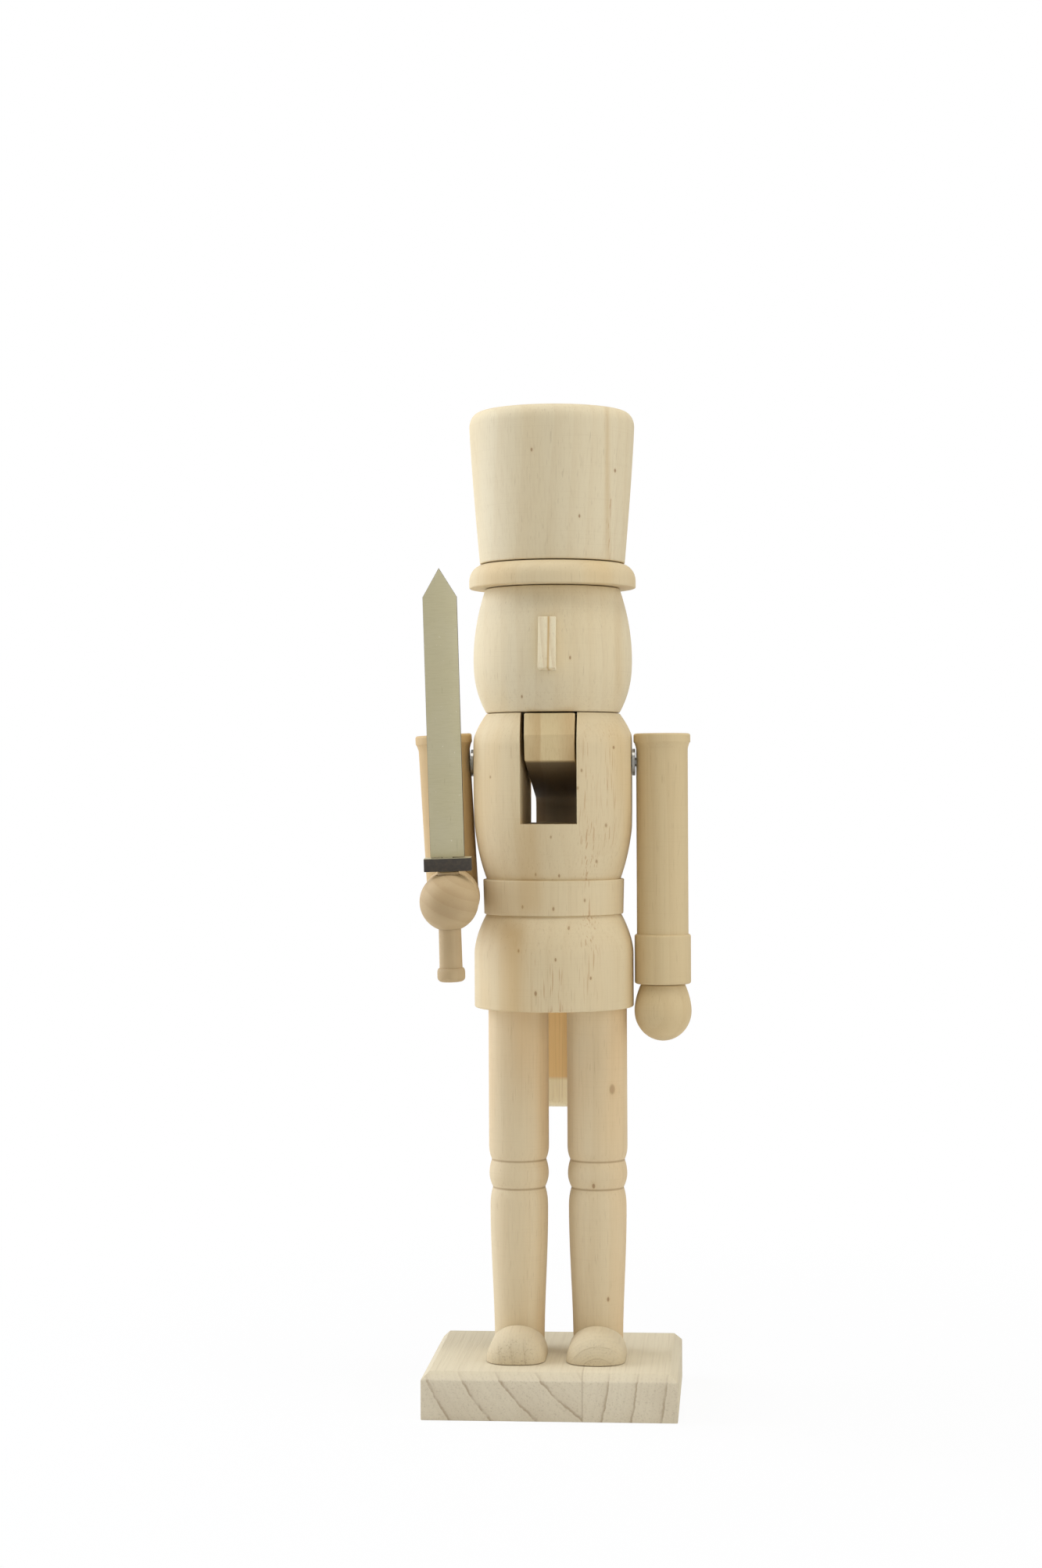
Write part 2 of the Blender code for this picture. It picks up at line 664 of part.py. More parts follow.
def nose_outline():
    """Side outline of the nose wedge, as (back, up); its back is cut to the head."""
    back = -HEAD_RADIUS + NOSE_BURIED
    top = HEAD_BOTTOM + NOSE_TOP_LEVEL
    bottom = top - NOSE_HEIGHT
    return [
        (back, top),
        (-HEAD_RADIUS - NOSE_TOP_DEPTH + NOSE_UNDERCUT, top),
        (-HEAD_RADIUS - NOSE_DEPTH, bottom + NOSE_UNDERCUT),
        (back, bottom),
    ]


def build_head(workshop, body):
    """Head on two dowels in the cheeks beside the slot, with its nose."""
    head = workshop.turned("head", head_profile(), PALE_WOOD, LARGE_FACETS)
    nose = workshop.board("nose", nose_outline(), NOSE_WIDTH, PALE_WOOD, (0, 0, 0), FLAT_BOARD)
    workshop.cut(nose, workshop.round_cutter("nose_seat", head_profile(SEAT_GAP), LARGE_FACETS))
    top = HEAD_BOTTOM + NECK_DOWEL_DEPTH
    bottom = TORSO_TOP - NECK_DOWEL_DEPTH
    for side, sign in SIDES.items():
        at = (sign * NECK_DOWEL_OFFSET, 0, 0)
        dowel = round_profile(NECK_DOWEL_RADIUS, top, bottom)
        workshop.turned("neck_dowel_" + side, dowel, DOWEL_WOOD, PIN_FACETS, at)
        hole = dowel_hole(workshop, "neck_dowel_hole_" + side, NECK_DOWEL_RADIUS, top, bottom, at)
        workshop.cut(head, hole)
        workshop.cut(body, hole)
    return head


def build_hat(workshop, head):
    """Brim and crown on one dowel."""
    brim_profile = (
        [(0.0, BRIM_TOP)]
        + outer_round(BRIM_RADIUS, BRIM_TOP - BRIM_ROUND_DOWN, BRIM_ROUND_ACROSS, BRIM_ROUND_DOWN)
        + [(BRIM_RADIUS, BRIM_BOTTOM), (0.0, BRIM_BOTTOM)]
    )
    brim = workshop.turned("hat_brim", brim_profile, PALE_WOOD, LARGE_FACETS)
    edge = (CROWN_TOP_RADIUS, CROWN_TOP - CROWN_ROUND_DOWN)
    crown_side = swelling((CROWN_BOTTOM_RADIUS, CROWN_BOTTOM), edge, CROWN_FULLNESS)
    crown_side.reverse()
    crown_profile = (
        [(0.0, CROWN_TOP)]
        + outer_round(*edge, CROWN_ROUND_ACROSS, CROWN_ROUND_DOWN)
        + crown_side[1:]
        + [(0.0, CROWN_BOTTOM)]
    )
    crown = workshop.turned("hat_crown", crown_profile, PALE_WOOD, LARGE_FACETS)
    top = CROWN_BOTTOM + HAT_DOWEL_DEPTH
    bottom = HEAD_TOP - HAT_DOWEL_DEPTH
    workshop.turned("hat_dowel", round_profile(HAT_DOWEL_RADIUS, top, bottom), DOWEL_WOOD, PIN_FACETS)
    hole = dowel_hole(workshop, "hat_dowel_hole", HAT_DOWEL_RADIUS, top, bottom)
    for piece in (head, brim, crown):
        workshop.cut(piece, hole)


def arm_top_profile():
    """Profile of an arm's rim and of the start of its shaft, about the shoulder pin."""
    rim_bottom = ARM_ABOVE_PIN - RIM_HEIGHT
    flare = swelling((ARM_RADIUS, rim_bottom - RIM_FLARE), (RIM_RADIUS, rim_bottom), RIM_HOLLOW)
    flare.reverse()
    return (
        [(0.0, ARM_ABOVE_PIN)]
        + outer_round(RIM_RADIUS, ARM_ABOVE_PIN - TURNED_EDGE, TURNED_EDGE, TURNED_EDGE)
        + flare
    )


def cuff_profile(end):
    """Profile of an arm's cuff, down to the end that meets the hand."""
    top = end + CUFF_HEIGHT
    return (
        [(ARM_RADIUS, top)]
        + outer_round(CUFF_RADIUS, top - TURNED_EDGE, CUFF_RADIUS - ARM_RADIUS, TURNED_EDGE)[1:]
        + outer_round(CUFF_RADIUS, end + TURNED_EDGE, TURNED_EDGE, TURNED_EDGE, upper=False)
        + [(0.0, end)]
    )


def hand_profile(top):
    """Profile of a round hand below the given level."""
    centre = top - HAND_RISE
    upper = swelling((HAND_TOP_RADIUS, top), (HAND_RADIUS, centre), HAND_FULLNESS)
    lower = []
    for step in range(1, CURVE_POINTS + 1):
        angle = math.pi / 2 * step / CURVE_POINTS
        lower.append((HAND_RADIUS * math.cos(angle), centre - HAND_DROP * math.sin(angle)))
    lower[-1] = (0.0, centre - HAND_DROP)
    return [(0.0, top)] + upper + lower


def build_hand(workshop, side, arm, arm_end, frame, location=(0, 0, 0), rotation=(0, 0, 0)):
    """A hand on a dowel in the end of its arm."""
    top = arm_end - SEAT_GAP
    hand = workshop.turned(
        side + "_hand", hand_profile(top), TAN_WOOD, SLIM_FACETS, location, rotation, frame
    )
    dowel_top = arm_end + HAND_DOWEL_DEPTH
    dowel_bottom = top - HAND_DOWEL_ENTRY
    dowel = round_profile(HAND_DOWEL_RADIUS, dowel_top, dowel_bottom)
    workshop.turned(side + "_hand_dowel", dowel, DOWEL_WOOD, PIN_FACETS, location, rotation, frame)
    hole = dowel_hole(
        workshop,
        side + "_hand_dowel_hole",
        HAND_DOWEL_RADIUS,
        dowel_top,
        dowel_bottom,
        location,
        rotation,
        frame,
    )
    workshop.cut(arm, hole)
    workshop.cut(hand, hole)
    return hand


def build_shoulder(workshop, side, arm, body):
    """Pin from the body into an arm, with the washer that spaces them."""
    sign = SIDES[side]
    at = (0, 0, SHOULDER_LEVEL)
    turn = (0, sign * math.pi / 2, 0)
    outer = ARM_OFFSET + SHOULDER_PIN_REACH
    inner = SHOULDER_FLAT - SHOULDER_PIN_DEPTH
    pin = round_profile(SHOULDER_PIN_RADIUS, outer, inner)
    workshop.turned(side + "_shoulder_pin", pin, STEEL, PIN_FACETS, at, turn)
    hole = dowel_hole(workshop, side + "_shoulder_hole", SHOULDER_PIN_RADIUS, outer, inner, at, turn)
    washer_inner = SHOULDER_FLAT + WASHER_GAP
    washer_profile = round_profile(WASHER_RADIUS, washer_inner + WASHER_THICKNESS, washer_inner)
    washer = workshop.turned(side + "_shoulder_washer", washer_profile, STEEL, SLIM_FACETS, at, turn)
    for piece in (arm, body, washer):
        workshop.cut(piece, hole)


def build_left_arm(workshop, body):
    """Straight arm that hangs on its shoulder pin."""
    shoulder = workshop.empty("left_shoulder", (ARM_OFFSET, 0, SHOULDER_LEVEL))
    end = ARM_ABOVE_PIN - ARM_LENGTH
    profile = arm_top_profile() + cuff_profile(end)
    arm = workshop.turned("left_arm", profile, TAN_WOOD, SLIM_FACETS, parent=shoulder)
    build_shoulder(workshop, "left", arm, body)
    build_hand(workshop, "left", arm, end, shoulder)


def build_sword_arm(workshop, body):
    """Bent arm: upper arm and forearm meet in a mitre, and the hand holds the sword."""
    rotation = (SWORD_ARM_SWING, SWORD_ARM_LEAN, SWORD_ARM_TOE_IN)
    shoulder = workshop.empty("right_shoulder", (-ARM_OFFSET, 0, SHOULDER_LEVEL), rotation)
    elbow = (0, 0, -ELBOW_DROP)
    stub = 2 * ARM_RADIUS
    upper_profile = arm_top_profile() + [(ARM_RADIUS, elbow[2] - stub), (0.0, elbow[2] - stub)]
    upper = workshop.turned("right_upper_arm", upper_profile, TAN_WOOD, SLIM_FACETS, parent=shoulder)
    fore_profile = [(0.0, stub), (ARM_RADIUS, stub)] + cuff_profile(-FOREARM_REACH)
    back = (-math.pi / 2, 0, 0)
    fore = workshop.turned(
        "right_forearm", fore_profile, TAN_WOOD, SLIM_FACETS, elbow, back, shoulder
    )

    mitre = (math.pi / 4, 0, 0)
    waste = 4 * stub
    shift = (waste / 2 - SEAT_GAP / 2) / math.sqrt(2)
    waste_size = (waste, waste, waste)
    below = (0, -shift, elbow[2] - shift)
    above = (0, shift, elbow[2] + shift)
    workshop.cut(upper, workshop.block_cutter("upper_arm_mitre", waste_size, below, mitre, shoulder))
    workshop.cut(fore, workshop.block_cutter("forearm_mitre", waste_size, above, mitre, shoulder))
    across_mitre = (-math.pi / 4, 0, 0)
    dowel = round_profile(ELBOW_DOWEL_RADIUS, ELBOW_DOWEL_DEPTH, -ELBOW_DOWEL_DEPTH)
    workshop.turned("elbow_dowel", dowel, DOWEL_WOOD, PIN_FACETS, elbow, across_mitre, shoulder)
    hole = dowel_hole(
        workshop,
        "elbow_dowel_hole",
        ELBOW_DOWEL_RADIUS,
        ELBOW_DOWEL_DEPTH,
        -ELBOW_DOWEL_DEPTH,
        elbow,
        across_mitre,
        shoulder,
    )
    workshop.cut(upper, hole)
    workshop.cut(fore, hole)
    build_shoulder(workshop, "right", upper, body)
    hand = build_hand(workshop, "right", fore, -FOREARM_REACH, shoulder, elbow, back)
    build_sword(workshop, hand, shoulder)


def grip_profile():
    """Profile of the sword's grip, from the guard down to the pommel."""
    top = GUARD_BOTTOM - SEAT_GAP
    pommel_top = POMMEL_HEIGHT - GRIP_DROP
    edge = POMMEL_HEIGHT / 3
    neck = POMMEL_RADIUS - GRIP_BOTTOM_RADIUS
    return (
        [(0.0, top), (GRIP_TOP_RADIUS, top), (GRIP_BOTTOM_RADIUS, pommel_top)]
        + outer_round(POMMEL_RADIUS, pommel_top - edge, neck, edge)[1:]
        + outer_round(POMMEL_RADIUS, edge - GRIP_DROP, edge, edge, upper=False)
        + [(0.0, -GRIP_DROP)]
    )


def blade_outline():
    """Face outline of the blade: tang, square shoulders and point."""
    half = BLADE_WIDTH / 2
    tang = TANG_WIDTH / 2
    tang_end = GUARD_BOTTOM - SEAT_GAP - TANG_DEPTH
    shoulder = BLADE_BOTTOM + BLADE_LENGTH
    return [
        (-tang, tang_end),
        (tang, tang_end),
        (tang, BLADE_BOTTOM),
        (half, BLADE_BOTTOM),
        (half, shoulder),
        (0.0, shoulder + BLADE_TIP),
        (-half, shoulder),
        (-half, BLADE_BOTTOM),
        (-tang, BLADE_BOTTOM),
    ]


def build_sword(workshop, hand, shoulder):
    """Sword through the hand: grip, guard and a flat blade whose tang enters both."""
    at = (0, -SWORD_REACH, -ELBOW_DROP)
    sword = workshop.empty("sword", at, (0, SWORD_LEAN_IN_HAND, 0), shoulder)
    grip = workshop.turned("sword_grip", grip_profile(), TAN_WOOD, SLIM_FACETS, parent=sword)
    bore = GRIP_BOTTOM_RADIUS + SEAT_GAP
    bore_profile = round_profile(bore, 2 * HAND_RADIUS, -2 * HAND_RADIUS)
    workshop.cut(hand, workshop.round_cutter("sword_bore", bore_profile, SLIM_FACETS, parent=sword))
    guard_at = (0, 0, GUARD_BOTTOM + GUARD_HEIGHT / 2)
    guard_size = (GUARD_WIDTH, GUARD_DEPTH, GUARD_HEIGHT)
    guard = workshop.block("sword_guard", guard_size, DARK_EDGE, guard_at, parent=sword)
    workshop.board(
        "sword_blade", blade_outline(), BLADE_THICKNESS, SILVER_PAINT, (0, 0, 0), UPRIGHT_BOARD, sword
    )
    slot_top = BLADE_BOTTOM + CUT_MARGIN
    slot_bottom = GUARD_BOTTOM - 2 * SEAT_GAP - TANG_DEPTH
    slot_size = (TANG_WIDTH + 2 * SEAT_GAP, BLADE_THICKNESS + 2 * SEAT_GAP, slot_top - slot_bottom)
    slot_at = (0, 0, (slot_top + slot_bottom) / 2)
    slot = workshop.block_cutter("tang_slot", slot_size, slot_at, parent=sword)
    workshop.cut(guard, slot)
    workshop.cut(grip, slot)


def main():
    """Build the whole figure."""
    clear_scene()
    workshop = Workshop()
    base = build_base(workshop)
    body = build_body(workshop)
    build_legs(workshop, base, body)
    build_jaw(workshop, body)
    head = build_head(workshop, body)
    build_hat(workshop, head)
    build_left_arm(workshop, body)
    build_sword_arm(workshop, body)


main()
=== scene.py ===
"""Looks of an unpainted wooden nutcracker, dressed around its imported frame.

Units are metres. +Z is up and the figure faces -Y. Left and right are the figure's own, so its
straight left arm is at +X. Every piece is meshed in its own frame, with the wood's length along
its Z axis, and is then set in place and tied to the body that it moves with.
"""

import logging
import math
from dataclasses import dataclass, field
from enum import Enum
from functools import cached_property
from typing import (
    Any, Callable, Iterable, List, Mapping, Optional, Protocol, Sequence, Tuple, Union
)

import bmesh
import bpy
from mathutils import Euler, Matrix, Vector


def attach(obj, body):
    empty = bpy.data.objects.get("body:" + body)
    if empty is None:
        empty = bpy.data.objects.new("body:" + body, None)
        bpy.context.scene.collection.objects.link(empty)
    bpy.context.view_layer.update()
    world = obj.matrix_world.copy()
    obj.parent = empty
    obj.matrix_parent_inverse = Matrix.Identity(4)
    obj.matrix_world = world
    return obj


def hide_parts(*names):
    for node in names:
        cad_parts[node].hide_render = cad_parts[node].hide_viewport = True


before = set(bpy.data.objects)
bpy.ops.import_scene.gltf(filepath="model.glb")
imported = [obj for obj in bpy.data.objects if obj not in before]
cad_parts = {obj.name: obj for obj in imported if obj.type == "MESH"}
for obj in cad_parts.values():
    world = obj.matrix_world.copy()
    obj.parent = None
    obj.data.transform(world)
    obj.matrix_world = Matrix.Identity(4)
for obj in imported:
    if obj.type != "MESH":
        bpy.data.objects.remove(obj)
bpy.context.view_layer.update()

LOG = logging.getLogger("nutcracker")

Point2 = Tuple[float, float]
Point3 = Tuple[float, float, float]
Colour = Tuple[float, float, float]
Profile = List[Point2]
Mesh = bpy.types.Mesh

IMAGE_HEIGHT = 2005
SEAT_GAP = 0.0003
CUT_MARGIN = 0.01
LARGE_SEGMENTS = 144
SLIM_SEGMENTS = 88
BORE_SEGMENTS = 40
CURVE_STEPS = 22
ROUND_STEPS = 8
EASED_STEPS = 4
EDGE_PROFILE = 0.6
EDGE_SEGMENTS = 2
TRIM_SHARE = 0.4
LONG_TRIMS = 4
BESIDE_TRIM = 1.4
SHARP_ANGLE = math.radians(31)
SOFT_ANGLE = math.radians(22)
QUARTER = math.pi / 2
WHITE = (1, 1, 1, 1)
DISPLAY_FULL = 255
DISPLAY_FOOT, DISPLAY_SLOPE, DISPLAY_LIFT, DISPLAY_POWER = 0.04045, 12.92, 0.055, 2.4
NOISE_MIDDLE = 0.5
SEED_SPREAD = (1.0, 1.7, 0.6)
TINY = 1e-7


class Body(Enum):
    """The bodies of the frame that pieces ride on."""

    FIGURE = "figure"
    JAW = "jaw"
    STRAIGHT_ARM = "straight_arm"
    SWORD_ARM = "sword_arm"


class Slot(Enum):
    """The record's material slots, one named for each piece."""

    PALE = "pale_wood"
    TAN = "tan_wood"
    SAWN = "sawn_wood"
    JAW = "jaw_wood"
    SILVER = "silver_paint"
    DARK = "dark_edge"


class Side(Enum):
    """The figure's two sides, with the sign of X on each."""

    LEFT = 1
    RIGHT = -1


def shade(*display: int) -> Colour:
    """A display colour as the linear values that shaders take.

    Args:
        display: red, green and blue from 0 to 255.

    Returns:
        The same colour in linear light.
    """
    linear = []
    for part in (value / DISPLAY_FULL for value in display):
        lifted = (part + DISPLAY_LIFT) / (1 + DISPLAY_LIFT)
        linear.append(part / DISPLAY_SLOPE if part <= DISPLAY_FOOT else lifted ** DISPLAY_POWER)
    return tuple(linear)


Value = Union["Signal", float, int]
Feed = Union["Signal", float, int, Sequence[float]]


def operator(operation: str, reflected: bool = False) -> Callable[["Signal", Value], "Signal"]:
    """An operator of signals, which adds one Math node.

    Args:
        operation: what the node works out.
        reflected: whether the signal is the second operand.

    Returns:
        The method for the class.
    """

    def method(self: "Signal", other: Value) -> "Signal":
        """Add the node."""
        return self.graph.math(operation, *((other, self) if reflected else (self, other)))

    return method


class Signal:
    """A shader socket that takes part in sums: each operator adds the node that works it out."""

    def __init__(self, graph: "ShaderGraph", socket: bpy.types.NodeSocket) -> None:
        """Wrap a socket of a graph."""
        self.graph = graph
        self.socket = socket

    __add__, __radd__ = operator("ADD"), operator("ADD", True)
    __sub__, __rsub__ = operator("SUBTRACT"), operator("SUBTRACT", True)
    __mul__, __rmul__ = operator("MULTIPLY"), operator("MULTIPLY", True)
    __truediv__, __rtruediv__ = operator("DIVIDE"), operator("DIVIDE", True)
    __pow__, __rpow__ = operator("POWER"), operator("POWER", True)
    most = operator("MAXIMUM")

    def __abs__(self) -> "Signal":
        """The size of the signal, without its sign."""
        return self.graph.math("ABSOLUTE", self)

    def fraction(self) -> "Signal":
        """What is left above a whole number."""
        return self.graph.math("FRACT", self)

    def above(self, low: float, high: float) -> "Signal":
        """A smooth step of the signal from 0 to 1.

        Args:
            low: where it leaves 0.
            high: where it reaches 1; it may be the smaller one.

        Returns:
            A smooth step between them.
        """
        settings = {"interpolation_type": "SMOOTHSTEP", "clamp": True}
        sockets = {"Value": self, "From Min": low, "From Max": high}
        return self.graph.node("ShaderNodeMapRange", settings, sockets)

    def band(self, rise: Point2, fall: Point2) -> "Signal":
        """1 between a rising step and a falling one."""
        return self.above(*rise) * self.above(*fall)

    def within(self, low: float, high: float, rise: float, fall: float) -> "Signal":
        """1 between low and high, with a soft start of one width and a soft end of another."""
        return self.band((low, low + rise), (high, high - fall))

    def other(self, name: str) -> "Signal":
        """Another output of the same node."""
        return Signal(self.graph, self.socket.node.outputs[name])


@dataclass(frozen=True)
class Grain:
    """One layer of noise in a finish.

    Attributes:
        scale: how fine it is along each axis, per metre.
        shift: what is added to the finish's seed.
        detail: how many finer layers it holds.
        low, high: the values between which it starts to show.
        tone, depth: the colour in which it shows, and how strongly.
        relief: how far it stands out; below 0, how deep it is sunk where it shows.
    """

    scale: Point3
    shift: float = 0.0
    detail: float = 2.0
    low: float = 0.4
    high: float = 0.7
    tone: Colour = (0.0, 0.0, 0.0)
    depth: float = 0.0
    relief: float = 0.0


@dataclass(frozen=True)
class Sheen:
    """How a surface takes the light.

    Attributes:
        rough, spread: its roughness, and how much noise adds to that.
        relief, strength: the depth of its relief, and how strongly it shows.
        gloss: its specular level.
    """

    rough: float
    spread: float
    relief: float
    strength: float
    gloss: float = 0.5


class ShaderGraph:
    """The nodes of one material or of the world."""

    def __init__(self, tree: bpy.types.NodeTree) -> None:
        """Start on an emptied node tree."""
        self.tree = tree
        tree.nodes.clear()

    def node(
        self,
        kind: str,
        settings: Optional[Mapping[str, Any]] = None,
        sockets: Optional[Mapping[str, Feed]] = None,
        output: str = "",
    ) -> Signal:
        """Add any node.

        Args:
            kind: the node's type.
            settings: the node's own settings, which are set first.
            sockets: values or links of its inputs, by identifier or name.
            output: the output that is wanted; the first one where it isn't named.

        Returns:
            That output.
        """
        item = self.tree.nodes.new(kind)
        for name, value in (settings or {}).items():
            setattr(item, name, value)
        for name, value in (sockets or {}).items():
            socket = self._find(item.inputs, name)
            if isinstance(value, Signal):
                self.tree.links.new(value.socket, socket)
            else:
                socket.default_value = value
        if not item.outputs:
            return Signal(self, item.inputs[0])
        return Signal(self, self._find(item.outputs, output) if output else item.outputs[0])

    @staticmethod
    def _find(sockets: Any, name: str) -> bpy.types.NodeSocket:
        """The socket of that identifier, or else of that name."""
        named = {socket.identifier: socket for socket in sockets}
        return named[name] if name in named else sockets[name]

    def math(self, operation: str, *values: Value) -> Signal:
        """A Math node on one or two values."""
        sockets = dict(zip(("Value", "Value_001"), values))
        return self.node("ShaderNodeMath", {"operation": operation}, sockets)

    def vector(self, operation: str, *values: Feed) -> Signal:
        """A Vector Math node on one or two vectors.

        Args:
            operation: what the node works out.
            values: the vectors.

        Returns:
            A vector, or a value where it is a length.
        """
        sockets = dict(zip(("Vector", "Vector_001"), values))
        output = "Value" if operation == "LENGTH" else "Vector"
        return self.node("ShaderNodeVectorMath", {"operation": operation}, sockets, output)

    def mix(self, colour: Feed, *coats: Tuple[Value, Feed]) -> Signal:
        """Colours laid over each other.

        Args:
            colour: the undermost colour.
            coats: the share and the colour of each coat, from the bottom up.

        Returns:
            The blended colour.
        """
        settings = {"data_type": "RGBA", "blend_type": "MIX", "clamp_factor": True}
        for share, tone in coats:
            sockets = {"Factor_Float": share, "A_Color": rgba(colour), "B_Color": rgba(tone)}
            colour = self.node("ShaderNodeMix", settings, sockets, "Result_Color")
        return colour

    @cached_property
    def place(self) -> Signal:
        """Where a point of the piece is, in the piece's own frame."""
        return self.node("ShaderNodeTexCoord", output="Object")

    def facing(self, axis: int) -> Signal:
        """How far the surface looks along an axis of the piece's own frame."""
        return self.parts(self.place.other("Normal"))[axis]

    def parts(self, vector: Signal) -> Tuple[Signal, Signal, Signal]:
        """The three parts of a vector."""
        split = self.node("ShaderNodeSeparateXYZ", sockets={"Vector": vector})
        return split, split.other("Y"), split.other("Z")

    def reach(self, mask: Point3, centre: Point3) -> Signal:
        """How far a point of the piece lies from a centre, along the axes that the mask keeps."""
        flat = self.vector("MULTIPLY", self.place, mask)
        return self.vector("LENGTH", self.vector("SUBTRACT", flat, centre))

    def noise(self, layer: Grain, seed: float = 0.0) -> Signal:
        """A layer's noise where the piece is shaded.

        Args:
            layer: the layer.
            seed: the finish's seed.

        Returns:
            Values from about 0.2 to 0.8.
        """
        offset = [(seed + layer.shift) * share for share in SEED_SPREAD]
        spot = self.vector("ADD", self.vector("MULTIPLY", self.place, layer.scale), offset)
        sockets = {"Vector": spot, "Scale": 1.0, "Detail": layer.detail}
        return self.node("ShaderNodeTexNoise", sockets=sockets)

    def shown(self, layer: Grain, seed: float) -> Signal:
        """Where a layer's noise shows, from 0 to 1."""
        return self.noise(layer, seed).above(layer.low, layer.high)

    def grown(self, colour: Feed, seed: float, *layers: Grain) -> Tuple[Signal, Signal, Signal]:
        """Lay layers of noise over a colour.

        Args:
            colour: the colour below them.
            seed: the finish's seed.
            layers: the layers, from the bottom up.

        Returns:
            The colour, the height and the first layer's noise.
        """
        noises, height = [], 0.0
        for layer in layers:
            noises.append(self.noise(layer, seed))
            shown = noises[-1].above(layer.low, layer.high)
            colour = self.mix(colour, (shown * layer.depth, layer.tone))
            if layer.relief:
                height = (noises[-1] if layer.relief > 0 else shown) * layer.relief + height
        return colour, height, noises[0]

    def surface(
        self, colour: Feed, sheen: Sheen, noise: Signal, height: Signal, **more: Feed
    ) -> None:
        """End the graph in one Principled shader.

        Args:
            colour: its base colour.
            sheen: how it takes the light.
            noise: what makes it rougher.
            height: its relief, which varies from 0 to 1.
            more: sockets that are set besides.
        """
        relief = {"Height": height, "Distance": sheen.relief, "Strength": sheen.strength}
        shader = self.node("ShaderNodeBsdfPrincipled", sockets={
            "Base Color": colour,
            "Roughness": sheen.rough + noise * sheen.spread,
            "Normal": self.node("ShaderNodeBump", sockets=relief),
            "Specular IOR Level": sheen.gloss,
            **more,
        })
        self.node("ShaderNodeOutputMaterial", sockets={"Surface": shader})


def rgba(colour: Feed) -> Feed:
    """A plain colour with its fourth channel; a link stays as it is."""
    return colour if isinstance(colour, Signal) else (*colour, 1.0)


@dataclass(frozen=True)
class Finish:
    """What a piece wears; each kind of finish paints the graph of a new material.

    Attributes:
        name: the finish's name.
        seed: gives each piece its own pattern.
    """

    name: str
    seed: float = 0.0

    def material(self) -> bpy.types.Material:
        """A new material in this finish.

        Returns:
            The material.
        """
        material = bpy.data.materials.new(self.name)
        material.use_nodes = True
        self.paint(ShaderGraph(material.node_tree))
        return material

    def paint(self, graph: ShaderGraph) -> None:
        """Add the finish's nodes."""
        raise NotImplementedError


@dataclass(frozen=True)
class Knot:
    """A pin knot on the front of a piece.

    Attributes:
        across, up: its place in the piece's frame.
        radius: its half width.
        depth: how dark it is, from 0 to 1.
    """

    across: float
    up: float
    radius: float = 0.00042
    depth: float = 0.6

    FLATTENED = 0.55
    LEAST, UNEVEN = 0.6, 0.8
    HALO, HALO_DEPTH = 2.4, 0.2
    CORE, CORE_FULL = 1.2, 0.55

    def shares(
        self, graph: ShaderGraph, across: Signal, up: Signal, wobble: Signal
    ) -> Tuple[Signal, Signal]:
        """The knot's halo and core.

        Args:
            graph: the graph that they are added to.
            across, up: the place that is shaded.
            wobble: noise that makes the knot uneven.

        Returns:
            The share of each, from 0 to 1.
        """
        squares = abs(across - self.across) ** 2.0 + (abs(up - self.up) * self.FLATTENED) ** 2.0
        gone = graph.math("SQRT", squares) * (self.LEAST + wobble * self.UNEVEN)
        halo = gone.above(self.radius * self.HALO, self.radius) * self.HALO_DEPTH
        return halo, gone.above(self.radius * self.CORE, self.radius * self.CORE_FULL)


@dataclass(frozen=True)
class Streak:
    """A long brown mark in the wood's length, on the front of a piece; on the torso, soft ones also
    paint shadow.

    Attributes:
        across: its middle.
        low, high: where it starts and ends.
        width: its half width.
        depth: how dark it is, from 0 to 1.
        dashed: whether it is a band of short dashes, and not one soft line.
    """

    across: float
    low: float
    high: float
    width: float
    depth: float
    dashed: bool = True

    FADE = 0.2

    def share(self, across: Signal, up: Signal) -> Signal:
        """How strongly the streak shows at a place.

        Args:
            across, up: the place that is shaded.

        Returns:
            A share from 0 to 1.
        """
        fade = (self.high - self.low) * self.FADE
        ends = up.within(self.low, self.high, fade, fade)
        return abs(across - self.across).above(self.width, 0.0) * ends * self.depth


